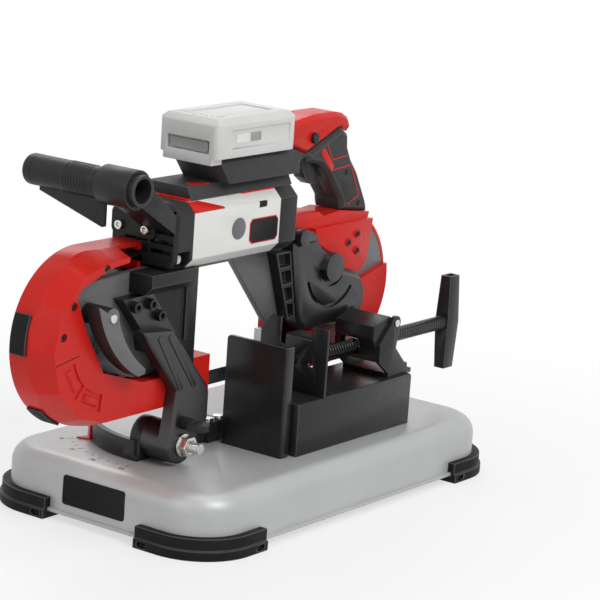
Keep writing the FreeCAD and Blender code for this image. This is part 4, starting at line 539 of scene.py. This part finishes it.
def surface(node, start, heading):
    """First point of a CAD node's surface from a start along a heading."""
    mesh = frame["nodes"][node].data
    tree = BVHTree.FromPolygons([vertex.co for vertex in mesh.vertices],
                                [face.vertices for face in mesh.polygons])
    place = tree.ray_cast(start, heading)[0]
    if place is None:
        raise RuntimeError(f"{node} has no surface ahead of {tuple(start)}")
    return place


def on_front(node, x, z):
    """Place on the face of a node that looks to -Y, from millimetres."""
    return surface(node, mm(x, -OUTSIDE, z), -FRONT)


def on_back(node, x, z):
    """Place on the face of a node that looks to +Y, from millimetres."""
    return surface(node, mm(x, OUTSIDE, z), FRONT)


def on_left(node, y, z):
    """Place on the face of a node that looks to -X, from millimetres."""
    return surface(node, mm(-OUTSIDE, y, z), -LEFT)


def on_top(node, x, y):
    """Place on the face of a node that looks up, from millimetres."""
    return surface(node, mm(x, y, OUTSIDE), -UP)


def around(centre, radius, angle):
    """X and Z in millimetres on a circle about a wheel's centre."""
    return centre.x * 1000 + radius * math.cos(angle), centre.z * 1000 + radius * math.sin(angle)


def panel(name, size, heading, corner, segments, rim, depth):
    """Flat panel about the origin that looks one way: rounded corners and a field sunk inside a rim."""
    axis = max(range(3), key=lambda number: abs(heading[number]))
    piece = block(name, size)
    round_corners(piece, axis, corner, segments)
    sink(piece, heading, rim, depth)
    return piece


def screw(name, radius, height, socket):
    """Socket screw head: its seat at the origin and its face towards -Y."""
    edge = radius * 0.14
    head = settle(disc(name, radius, height), FRONT * height / 2)
    cut(head, settle(disc("key", socket, height, vertices=6), FRONT * height))
    round_edges(head, edge)
    return head


def cover_screw(name):
    """Screw head of the size that both covers and the rear handle have."""
    return screw(name, sizes().screw_radius, sizes().screw_height, socket=0.0015)


def boss(name, radius, height):
    """Tapered boss: its seat at the origin and its face towards -Y."""
    narrow, rim, depth, edge = 0.84, radius * 0.22, height * 0.4, radius * 0.08
    piece = settle(disc(name, radius, height), FRONT * height / 2)
    taper(piece, FRONT, (narrow, 1, narrow), FRONT * height)
    sink(piece, FRONT, rim, depth)
    round_edges(piece, edge)
    return piece


def bar(name, start, end, width, height):
    """Rounded bar on a face that looks to -Y, its middle on the line from start to end."""
    corner, edge = width * 0.45, min(width, height) * 0.3
    run = end - start
    piece = block(name, (run.length + width, height, width))
    round_corners(piece, ALONG_Y, radius=corner, segments=3)
    round_edges(piece, edge)
    return settle(piece, (start + end) / 2, (0, -math.atan2(run.z, run.x), 0))


def trim(name, points, width, height):
    """Thin line of trim from point to point."""
    return join([bar(name, start, end, width, height) for start, end in zip(points, points[1:])], name)


def attach(piece, body, look):
    """Give a new piece its finish and let it ride on a body."""
    piece.data.materials.clear()
    piece.data.materials.append(finishes()[look])
    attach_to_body(piece, body)
    return piece


def on_head(piece, slot):
    """Attach a new piece to the saw head with the finish of its slot."""
    return attach(piece, "saw_head", slot)


def soft_copy(node, look=None, angle=MOULDED):
    """Copy a CAD node with merged triangles and rounded edges, whose bevels are lighter as partly wear and
    partly painted highlight, to stand for it.
    """
    slot = slot_of_node[node]
    sheet = {"pan_grey", "black_steel", "zinc", "blade_steel"}
    width = sizes().sheet_round if slot in sheet else sizes().edge_round
    touching, flat = 0.000002, math.radians(0.6)
    pick(frame["nodes"][node])
    bpy.ops.object.duplicate()
    piece = named(node + "_shell")
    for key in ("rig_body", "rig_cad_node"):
        del piece[key]
    bpy.ops.object.parent_clear(type="CLEAR_KEEP_TRANSFORM")
    bpy.ops.object.mode_set(mode="EDIT")
    bpy.ops.mesh.select_all(action="SELECT")
    bpy.ops.mesh.remove_doubles(threshold=touching)
    bpy.ops.mesh.dissolve_limited(angle_limit=flat)
    leave_edit()
    bpy.ops.mesh.customdata_custom_splitnormals_clear()
    # Edge finish painted lighter than the face: partly wear, partly painted highlight.
    edge = None if look else edge_finishes().get(slot)
    piece.data.materials.clear()
    piece.data.materials.append(finishes()[look or slot])
    if edge:
        piece.data.materials.append(edge)
    round_edges(piece, width, angle, worn_highlit_edge_slot=1 if edge else -1)
    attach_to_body(piece, body_of_node[node])
    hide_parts(node)
    return piece


def keep_node(node, material=None):
    """Leave a CAD node as it is and give it its finish."""
    for slot in frame["nodes"][node].material_slots:
        slot.material = material or finishes()[slot_of_node[node]]


# Pieces

class BANDSAW_OT_stand(bpy.types.Operator):
    """Finish the pan and feet, and add the bare plate and the degree scale"""
    bl_idname = "bandsaw.stand"
    bl_label = "Stand"

    def execute(self, context):
        for node in ("base_pan", "corner_feet"):
            soft_copy(node)
        self.plate()
        self.scale()
        return {"FINISHED"}

    def plate(self):
        """Bare plate on the pan's end, leaning with the wall behind it."""
        middle, foot, head = 2.5, 18, 43
        low, high = on_left("base_pan", middle, foot), on_left("base_pan", middle, head)
        lean = math.atan2(high.x - low.x, high.z - low.z)
        piece = panel("pan_plate", mm(1.6, 73, 27.5), LEFT, corner=0.003, segments=4, rim=0.0009,
                      depth=0.0003)
        round_edges(piece, width=0.0002)
        settle(piece, (low + high) / 2, (0, lean, 0))
        attach(piece, "stand", "bare_black")

    def scale(self):
        """Degree marks and plain numbers on the pan, read by the pointer of the mitre table."""
        zero, last, step, numbered = 140, 45, 5, 15
        mark_radius, number_radius = 0.1275, 0.1365
        long_mark, short_mark = mm(7, 0.7, 0.2), mm(4, 0.7, 0.2)
        centre = Vector((swivel_point.x, swivel_point.y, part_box("base_pan")[1].z))
        marks = []
        numbers = []
        for degree in range(0, last + step, step):
            turn = math.radians(zero + degree)
            ray = Vector((math.cos(turn), math.sin(turn), 0))
            long = degree % numbered == 0
            mark = block("degree_mark", long_mark if long else short_mark)
            round_corners(mark, ALONG_Z, radius=0.00025, segments=2)
            marks.append(settle(mark, centre + ray * mark_radius, (0, 0, turn)))
            if long:
                numbers.append(self.number(str(degree), centre + ray * number_radius, turn + math.pi / 2))
        attach(join(marks, "degree_scale"), "stand", "scale_ink")
        attach(join(numbers, "degree_numbers"), "stand", "scale_ink")

    def number(self, text, place, turn):
        deselect()
        bpy.ops.object.text_add()
        words = bpy.context.object
        words.data.body = text
        words.data.size = 0.007
        words.data.align_x = "CENTER"
        words.data.align_y = "CENTER"
        words.data.extrude = 0.0001
        bpy.ops.object.convert(target="MESH")
        return settle(named("degree_number"), place, (0, 0, turn))


class BANDSAW_OT_vise(bpy.types.Operator):
    """Finish the vise, press the thread into its screw and add the bracket's bolt"""
    bl_idname = "bandsaw.vise"
    bl_label = "Vise"

    def execute(self, context):
        for node in ("vise_bed", "fixed_jaw", "sliding_jaw", "nut_bracket", "half_nut", "nut_pin",
                     "tee_handle"):
            soft_copy(node)
        keep_node("nut_insert")
        rod = finish("threaded_rod", colours().black, (0.24, 0.36), 0.9, 0.1, tone=0.1, metallic=0.6)
        thread_depth = 0.0008
        keep_node("vise_screw", waves(rod, "BANDS", "X", sizes().thread_pitch, thread_depth))
        bolt = screw("bracket_bolt", radius=0.0045, height=0.005, socket=0.0024)
        piece = repeat(bolt, "bracket_bolts", [on_top("nut_bracket", 166, -82)], TO_UP)
        attach(piece, "stand", "black_screws")
        return {"FINISHED"}


class BANDSAW_OT_mitre(bpy.types.Operator):
    """Finish the mitre table, its pointer and its bolts"""
    bl_idname = "bandsaw.mitre"
    bl_label = "Mitre table"

    def execute(self, context):
        for node in ("swivel_bracket", "scale_pointer", "swivel_bolt", "hub_bolts", "tilt_nut"):
            soft_copy(node)
        bolt = finish("zinc_thread", colours().zinc, (0.2, 0.34), 1.6, 0.05, tone=0.08, metallic=1.0)
        thread_pitch, thread_depth = 0.0015, 0.0004
        keep_node("tilt_bolt", waves(bolt, "BANDS", "Y", thread_pitch, thread_depth))
        return {"FINISHED"}


class BANDSAW_OT_arm(bpy.types.Operator):
    """Finish the arm and add the ridges on its face"""
    bl_idname = "bandsaw.arm"
    bl_label = "Gooseneck arm"

    def execute(self, context):
        for node in ("arm_bolts", "wing_knob"):
            soft_copy(node)
        soft_copy("gooseneck_arm", angle=CAST)
        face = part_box("gooseneck_arm")[0].y * 1000
        width, height = 0.005, 0.002
        lines = (((-160, 181), (-127, 131)), ((-145.5, 180), (-108.5, 131)))
        ridges = []
        for (x, z), (end_x, end_z) in lines:
            ridges.append(bar("arm_ridge", mm(x, face, z), mm(end_x, face, end_z), width, height))
        on_head(join(ridges, "arm_ridges"), "dark_casting")
        return {"FINISHED"}


class BANDSAW_OT_covers(bpy.types.Operator):
    """Finish the wheel covers and add their screws, pads, dishes and seam"""
    bl_idname = "bandsaw.covers"
    bl_label = "Wheel covers"

    def execute(self, context):
        cover = soft_copy("front_cover", angle=FACETED)
        guard = soft_copy("rear_guard", angle=FACETED)
        soft_copy("cover_bumpers")
        self.screws(cover, guard)
        self.pads()
        self.backs()
        self.seam()
        return {"FINISHED"}

    def screws(self, cover, guard):
        """Screws of both covers, sunk in round recesses."""
        radius, depth = 0.0038, 0.0032
        cover_spots = ((-259.4, 221.2), (-271.1, 195.9), (-218.7, 249.0))
        guard_spots = ((171, 145.8), (112, 142))
        heads = []
        for piece, node, spots in ((cover, "front_cover", cover_spots), (guard, "rear_guard", guard_spots)):
            places = [on_front(node, x, z) for x, z in spots]
            bore(piece, places, radius, depth, FACETED)
            heads += [place - FRONT * depth for place in places]
        on_head(repeat(cover_screw("cover_screw"), "cover_screws", heads), "black_screws")

    def pads(self):
        """Raised pads in the panels of the front cover, square to its rim."""
        narrow, low = 0.82, 0.5
        rows = ((211.5, 54, (24, 4.4, 11)), (247, 54, (22, 4.4, 11)), (152, 64, (13, 1.4, 7)))
        pads = []
        for turn, radius, size in rows:
            angle = math.radians(turn)
            pad = block("cover_pad", mm(*size))
            taper(pad, FRONT, (narrow, 1, low), mm(0, 0, -size[2] / 6))
            round_edges(pad, width=0.0004)
            place = on_front("front_cover", *around(idler_point, radius, angle))
            pads.append(settle(pad, place, (0, math.pi / 2 - angle, 0)))
        on_head(join(pads, "cover_pads"), "red_plastic")

    def backs(self):
        """Round dishes and screws on the backs of the covers."""
        dish_radius, dish_height, screw_circle = 0.05, 0.0022, 64
        dishes = []
        heads = []
        for node, centre, turns in (("front_cover", idler_point, (105, 145, 180, 215, 255)),
                                    ("rear_guard", drive_point, (-75, -35, 0, 35, 145, 215))):
            dishes.append(on_back(node, *around(centre, 0, 0)))
            for turn in turns:
                heads.append(on_back(node, *around(centre, screw_circle, math.radians(turn))))
        dish = boss("cover_dish", dish_radius, dish_height)
        on_head(repeat(dish, "cover_dishes", dishes, TO_BACK), "red_plastic")
        on_head(repeat(cover_screw("back_screw"), "back_screws", heads, TO_BACK), "black_screws")

    def seam(self):
        """Line where the halves of the front cover meet."""
        width, height = 0.0007, 0.0005
        inner, outer = on_front("front_cover", -250, 177), on_front("front_cover", -279, 172)
        attach(trim("cover_seam", [inner, outer], width, height), "saw_head", "bare_black")


class BANDSAW_OT_frame(bpy.types.Operator):
    """Finish the cast frame, its columns, the gear casing, the guides and the tension lever"""
    bl_idname = "bandsaw.frame"
    bl_label = "Saw frame"

    def execute(self, context):
        for node in ("front_column", "rear_column", "gear_casing", "front_guide", "rear_guide", "lever_pin"):
            soft_copy(node)
        soft_copy("saw_frame", "cast_plate")
        for node in ("idler_carriage", "idler_axle", "drive_shaft"):
            keep_node(node)
        self.lever()
        return {"FINISHED"}

    def lever(self):
        """Tension lever: a pale face between black sides."""
        towards_front = 0.5
        piece = soft_copy("tension_lever", "black_plastic")
        piece.data.materials.append(finishes()["cast_plate"])
        for face in piece.data.polygons:
            if face.normal.dot(FRONT) > towards_front:
                face.material_index = 1


class BANDSAW_OT_housing(bpy.types.Operator):
    """Finish the motor housing and add its bare plate, slot insert and red trim"""
    bl_idname = "bandsaw.housing"
    bl_label = "Motor housing"

    def execute(self, context):
        for node in ("motor_housing", "rear_cap", "work_light", "top_cover"):
            soft_copy(node)
        soft_copy("housing_cap", "cast_plate")
        for node in ("front_cap", "motor", "control_board"):
            keep_node(node)
        self.plate()
        self.insert()
        self.top_trim()
        self.roof_patch()
        return {"FINISHED"}

    def plate(self):
        """Bare black plate with slanted corners inside a thin red frame."""
        place = on_front("motor_housing", -25.5, 265)
        proud = FRONT * 0.0003
        for name, size, look, slot, rise in (
                ("housing_plate_frame", mm(42, 1.2, 23), "red_plastic", "red_plastic", Vector()),
                ("housing_plate", mm(40, 1.2, 21), "bare_black", "black_plastic", proud)):
            piece = panel(name, size, FRONT, corner=0.0035, segments=1, rim=0.0008, depth=0.0002)
            round_edges(piece, width=0.0002)
            settle(piece, place + rise)
            attach(piece, "saw_head", look)

    def insert(self):
        """Dark insert in the slot above the plate."""
        proud = FRONT * 0.0004
        piece = panel("slot_insert", mm(11.6, 0.8, 5.6), FRONT, corner=0.0018, segments=3, rim=0.0012,
                      depth=0.0003)
        settle(piece, on_front("motor_housing", -27.5, 288.8) + proud)
        attach(piece, "saw_head", "bare_black")

    def top_trim(self):
        """Red wedge on the slanted top edge of the housing, a line behind it and a collar at its end."""
        low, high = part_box("motor_housing")
        slope = 0.009
        wedge = block("housing_wedge", mm(43, 1.0, 12.4))
        slice_off(wedge, mm(-8, 0, 6.2), Vector((0.33, 0, 0.94)))
        round_edges(wedge, width=0.0003)
        middle = Vector((low.x + 0.0215, low.y + slope / 2, high.z - slope / 2))
        on_head(settle(wedge, middle, (-math.pi / 4, 0, 0)), "red_plastic")
        edge = Vector((0, low.y + slope, high.z))
        line = bar("housing_line", edge + mm(-50, 0, 0), edge + mm(-2.5, 0, 0), width=0.0016, height=0.0016)
        on_head(line, "red_plastic")
        collar = block("housing_collar", mm(5.4, 57, 3.2))
        round_corners(collar, ALONG_Z, radius=0.0015, segments=2)
        round_edges(collar, width=0.0004)
        start = Vector((low.x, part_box("top_cover")[0].y, high.z))
        on_head(settle(collar, start + mm(3, 29, 0.4)), "red_plastic")

    def roof_patch(self):
        """Red patch on the top cover."""
        lean = math.radians(-8)
        patch = block("roof_patch", mm(27, 9, 0.8))
        round_corners(patch, ALONG_Z, radius=0.004, segments=1)
        round_edges(patch, width=0.0003)
        on_head(settle(patch, on_top("top_cover", -99, -24), (0, 0, lean)), "red_plastic")


class BANDSAW_OT_front_handle(bpy.types.Operator):
    """Finish the front handle and add its grip rings, seams and bracket screws"""
    bl_idname = "bandsaw.front_handle"
    bl_label = "Front handle"

    def execute(self, context):
        for node in ("front_tube", "handle_bracket"):
            soft_copy(node)
        self.rings()
        self.flange()
        return {"FINISHED"}

    def rings(self):
        """Grip rings and dark seams round the tube."""
        low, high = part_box("front_tube")
        radius = (high.x - low.x) / 2
        axis = Vector(((low.x + high.x) / 2, 0, (low.z + high.z) / 2))
        first, run = 5, 26
        gaps = sizes().tube_rings - 1
        rings = [axis + mm(0, first + run * index / gaps, 0) for index in range(gaps + 1)]
        on_head(repeat(self.ring("tube_ring", radius + 0.0004, 0.0016), "tube_rings", rings), "black_plastic")
        seams = [axis + mm(0, y, 0) for y in (69, -46)]
        piece = repeat(self.ring("tube_seam", radius + 0.00015, 0.0008), "tube_seams", seams)
        attach(piece, "saw_head", "bare_black")

    def ring(self, name, radius, width):
        """Ring round the tube, a wall with its own thickness."""
        piece = disc(name, radius, width, vertices=64, ends="NOTHING")
        modifier = piece.modifiers.new("wall", "SOLIDIFY")
        modifier.thickness = 0.0012
        modifier.offset = -1
        apply_last(piece)
        round_edges(piece, width=0.0003)
        return piece

    def flange(self):
        """Foot of the bracket on the end cap, with two plated screws."""
        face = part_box("front_cap")[0].x * 1000
        foot = panel("bracket_flange", mm(3, 50, 24), LEFT, corner=0.005, segments=3, rim=0.003, depth=0.0006)
        round_edges(foot, width=0.0004)
        on_head(settle(foot, mm(face - 1.4, 3, 278)), "black_plastic")
        head = screw("bracket_screw", radius=0.0042, height=0.004, socket=0.0021)
        places = [mm(face - 2.3, y, 274) for y in (17.8, -12.6)]
        on_head(repeat(head, "bracket_screws", places, TO_LEFT), "zinc")


class BANDSAW_OT_rear_handle(bpy.types.Operator):
    """Finish the rear handle and add its ribs, red trim and screws"""
    bl_idname = "bandsaw.rear_handle"
    bl_label = "Rear handle"

    def execute(self, context):
        for node in ("handle_base", "handle_front_half", "handle_back_half", "handle_cap", "trigger",
                     "lock_off_button", "battery_dock"):
            soft_copy(node)
        keep_node("switch")
        self.ribs()
        self.red_lines()
        self.screws()
        return {"FINISHED"}

    def face(self):
        """Place of the grip's front face in millimetres."""
        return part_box("handle_front_half")[0].y * 1000

    def ribs(self):
        """Slanted ribs on the front half of the grip."""
        count, width, height = 8, 0.0011, 0.0008
        first, step, reach = mm(133, self.face(), 291), mm(1.2, 0, -2.8), mm(15, 0, -7)
        ribs = []
        for number in range(count):
            start = first + step * number
            ribs.append(bar("grip_rib", start, start + reach, width, height))
        on_head(join(ribs, "grip_ribs"), "grip_grey")

    def red_lines(self):
        """Thin red lines and a red strip on the front half of the grip."""
        face = self.face()
        upper = ((107, 326), (116.5, 311), (140.8, 313.3))
        lower = ((114.5, 300.8), (147.4, 303.3), (164.8, 271.4), (147, 264.5))
        lines = []
        for points in (upper, lower):
            places = [mm(x, face, z) for x, z in points]
            lines.append(trim("grip_line", places, width=0.0013, height=0.0008))
        start, end = mm(101, face, 320), mm(115.5, face, 304.5)
        lines.append(bar("grip_strip", start, end, width=0.007, height=0.0012))
        on_head(join(lines, "grip_trim"), "red_plastic")

    def screws(self):
        """Screws of the grip, and screws in raised bosses on the base."""
        places = [on_front("handle_front_half", x, z) for x, z in ((142.3, 296.7), (166, 263.5))]
        head = screw("grip_screw", sizes().screw_radius, height=0.001, socket=0.0016)
        on_head(repeat(head, "grip_screws", places), "black_screws")
        spots = ((141.5, 228.7), (156.2, 218.9), (155.4, 235.7))
        places = [on_front("handle_base", x, z) for x, z in spots]
        on_head(repeat(cover_screw("base_screw"), "base_screws", places), "black_screws")
        on_head(repeat(boss("base_boss", radius=0.0046, height=0.0016), "base_bosses", places), "red_plastic")


class BANDSAW_OT_battery(bpy.types.Operator):
    """Finish the battery pack: vent slots, latch and bare label plates"""
    bl_idname = "bandsaw.battery"
    bl_label = "Battery pack"

    def execute(self, context):
        self.slots(soft_copy("battery"))
        self.latch()
        self.plates()
        return {"FINISHED"}

    def slots(self, shell):
        """Row of vent slots cut into the top."""
        low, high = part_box("battery")
        count = 8
        first, step = Vector((low.x, low.y, high.z)) + mm(15, 11.5, 0), mm(0, 6.2, 0)
        slots = []
        for number in range(count):
            slot = block("pack_slot", mm(13, 3, 2.4))
            round_corners(slot, ALONG_Z, radius=0.0012, segments=3)
            slots.append(settle(slot, first + step * number))
        cut(shell, join(slots, "pack_slots"))
        shade(shell, MOULDED)

    def latch(self):
        """Grey latch on the end of the pack."""
        low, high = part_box("battery")
        middle = (low.y + high.y) / 2 * 1000
        proud = LEFT * 0.0012
        latch = panel("pack_latch", mm(3, 44, 9), LEFT, corner=0.002, segments=3, rim=0.0015, depth=0.0006)
        round_edges(latch, width=0.0004)
        settle(latch, on_left("battery", middle, 347) + proud)
        attach(latch, "battery", "label_grey")

    def plates(self):
        """Two bare plates on the front of the pack."""
        height = 354
        for name, x, width, look in (("pack_plate_pale", -70, 18, "housing_silver"),
                                     ("pack_plate_grey", -50.5, 15, "label_grey")):
            plate = panel(name, mm(width, 0.8, 8), FRONT, corner=0.0012, segments=3, rim=0.0008, depth=0.0002)
            round_edges(plate, width=0.0002)
            settle(plate, on_front("battery", x, height))
            attach(plate, "battery", look)


class BANDSAW_OT_wheels(bpy.types.Operator):
    """Finish the wheels and the band, and add the teeth of its open run"""
    bl_idname = "bandsaw.wheels"
    bl_label = "Wheels and band"

    def execute(self, context):
        alloy = (0.6, 0.6, 0.6)
        mark_pitch, mark_depth = 0.0008, 0.0001
        for name, centre in (("idler", idler_point), ("drive", drive_point)):
            turned = finish(name + "_turned_alloy", alloy, (0.25, 0.36), 0.8, 0.08, tone=0.04, metallic=1.0)
            keep_node(name + "_wheel", waves(turned, "RINGS", "Y", mark_pitch, mark_depth, centre))
            keep_node(name + "_tyre")
        steel = finish("ground_blade", colours().blade, (0.24, 0.40), 0.6, 0.06, tone=0.08, metallic=1.0)
        keep_node("saw_band", brushed(steel, stretch=(60, 2500, 2500), relief=0.15))
        self.teeth(steel)
        return {"FINISHED"}

    def teeth(self, steel):
        """Teeth on the lower edge of the band between the guides."""
        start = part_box("front_guide")[1].x
        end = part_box("rear_guide")[0].x
        low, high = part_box("saw_band")
        pitch = sizes().tooth_pitch
        thick, tall, root, below = 0.0006, 0.0012, -0.0001, 0.0003
        piece = block("band_teeth", (pitch, thick, tall))
        slice_off(piece, (pitch / 2, 0, root), Vector((0.55, 0, -0.83)))
        modifier = piece.modifiers.new("row", "ARRAY")
        modifier.count = int((end - start) / pitch) - 1
        modifier.use_relative_offset = False
        modifier.use_constant_offset = True
        modifier.constant_offset_displace = (pitch, 0, 0)
        apply_last(piece)
        settle(piece, Vector((start + pitch, (low.y + high.y) / 2, low.z - below)))
        on_head(piece, "blade_steel")
        piece.material_slots[0].material = steel


class BANDSAW_OT_stage(bpy.types.Operator):
    """Add the floor, the soft lights and the camera"""
    bl_idname = "bandsaw.stage"
    bl_label = "Floor, lights and camera"

    def execute(self, context):
        self.floor()
        self.world(context)
        self.lights()
        self.camera(context)
        context.scene.view_settings.view_transform = "Standard"
        return {"FINISHED"}

    def seen(self, tree):
        """1 for rays that show the background: straight from the camera, in gloss or through glass."""
        path = tree.nodes.new("ShaderNodeLightPath")
        value = path.outputs["Is Camera Ray"]
        for name in ("Is Glossy Ray", "Is Transmission Ray"):
            either = tree.nodes.new("ShaderNodeMath")
            either.operation = "MAXIMUM"
            tree.links.new(value, either.inputs[0])
            tree.links.new(path.outputs[name], either.inputs[1])
            value = either.outputs["Value"]
        return value

    def floor(self):
        """White floor that keeps the object's shadow close by and is plain white further off."""
        pale = (0.86, 0.86, 0.86, 1)
        near, far = 0.30, 0.75
        near_white, far_white = 0.62, 1.0
        deselect()
        bpy.ops.mesh.primitive_plane_add(size=sizes().floor_size)
        plane = named("floor")
        material, tree, shader, place = new_material("pale_floor")
        shader.inputs["Base Color"].default_value = pale
        shader.inputs["Roughness"].default_value = 0.6
        bright = tree.nodes.new("ShaderNodeEmission")
        bright.inputs["Color"].default_value = (1, 1, 1, 1)
        distance = tree.nodes.new("ShaderNodeVectorMath")
        distance.operation = "LENGTH"
        tree.links.new(place, distance.inputs[0])
        white = spread(tree, distance.outputs["Value"], near_white, far_white, near, far)
        share = tree.nodes.new("ShaderNodeMath")
        share.operation = "MULTIPLY"
        tree.links.new(white, share.inputs[0])
        tree.links.new(self.seen(tree), share.inputs[1])
        blend = tree.nodes.new("ShaderNodeMixShader")
        tree.links.new(share.outputs["Value"], blend.inputs["Fac"])
        tree.links.new(shader.outputs["BSDF"], blend.inputs[1])
        tree.links.new(bright.outputs["Emission"], blend.inputs[2])
        out = next(node for node in tree.nodes if node.type == "OUTPUT_MATERIAL")
        tree.links.new(blend.outputs["Shader"], out.inputs["Surface"])
        plane.data.materials.append(material)

    def world(self, context):
        """White surroundings that light the object less than they show."""
        light, shown = 0.36, 1.0
        world = bpy.data.worlds.new("studio")
        context.scene.world = world
        world.use_nodes = True
        tree = world.node_tree
        ground = next(node for node in tree.nodes if node.type == "BACKGROUND")
        ground.inputs["Color"].default_value = (1, 1, 1, 1)
        level = spread(tree, self.seen(tree), light, shown, start=0.0, end=1.0)
        tree.links.new(level, ground.inputs["Strength"])

    def lights(self):
        """Four soft lamps that look at the middle of the object."""
        centre = (cad_box[0] + cad_box[1]) / 2
        for name, offset, size, power in (("key", (-0.4, -1.9, 1.7), 1.2, 30.0),
                                          ("fill", (-1.9, 0.3, 1.1), 1.4, 6.0),
                                          ("rim", (1.2, 1.4, 1.6), 1.2, 11.0),
                                          ("top", (0.1, -0.2, 2.1), 1.3, 9.0)):
            bpy.ops.object.light_add(type="AREA", location=centre + Vector(offset))
            lamp = bpy.context.object
            lamp.name = name + "_light"
            lamp.data.size = size
            lamp.data.energy = power
            lamp.rotation_euler = (-Vector(offset)).to_track_quat("-Z", "Y").to_euler()

    def camera(self, context):
        """Camera of the photograph, from its measured place and axes."""
        place = Vector((-1.8869, -1.4339, 0.7268))
        right = Vector((0.5960, -0.8001, 0.0683))
        up = Vector((0.1377, 0.1856, 0.9729))
        forward = Vector((0.7911, 0.5705, -0.2208))
        bpy.ops.object.camera_add()
        camera = bpy.context.object
        camera.name = "photo_camera"
        turn = Matrix((right, up, -forward)).transposed()
        camera.matrix_world = Matrix.Translation(place) @ turn.to_4x4()
        camera.data.lens = sizes().lens
        camera.data.sensor_width = 36
        camera.data.clip_end = 50
        context.scene.camera = camera


class BANDSAW_PT_panel(bpy.types.Panel):
    """Sidebar panel that lists the steps"""
    bl_label = "Band saw"
    bl_idname = "BANDSAW_PT_panel"
    bl_space_type = "VIEW_3D"
    bl_region_type = "UI"
    bl_category = "Band saw"

    def draw(self, context):
        layout = self.layout
        for step in STEPS:
            layout.operator(step.bl_idname)
        for group in (context.scene.band_saw_colours, context.scene.band_saw_sizes):
            for name in group.__annotations__:
                layout.prop(group, name)


STEPS = (BANDSAW_OT_stage, BANDSAW_OT_stand, BANDSAW_OT_vise, BANDSAW_OT_mitre, BANDSAW_OT_arm,
         BANDSAW_OT_covers, BANDSAW_OT_frame, BANDSAW_OT_housing, BANDSAW_OT_front_handle,
         BANDSAW_OT_rear_handle, BANDSAW_OT_battery, BANDSAW_OT_wheels)
CLASSES = (BandSawColours, BandSawSizes, *STEPS, BANDSAW_PT_panel)


def register():
    for item in CLASSES:
        bpy.utils.register_class(item)
    bpy.types.Scene.band_saw_colours = PointerProperty(type=BandSawColours)
    bpy.types.Scene.band_saw_sizes = PointerProperty(type=BandSawSizes)


def unregister():
    del bpy.types.Scene.band_saw_sizes
    del bpy.types.Scene.band_saw_colours
    for item in reversed(CLASSES):
        bpy.utils.unregister_class(item)


def main():
    register()
    for step in STEPS:
        group, name = step.bl_idname.split(".")
        getattr(getattr(bpy.ops, group), name)()


if __name__ == "__main__":
    main()
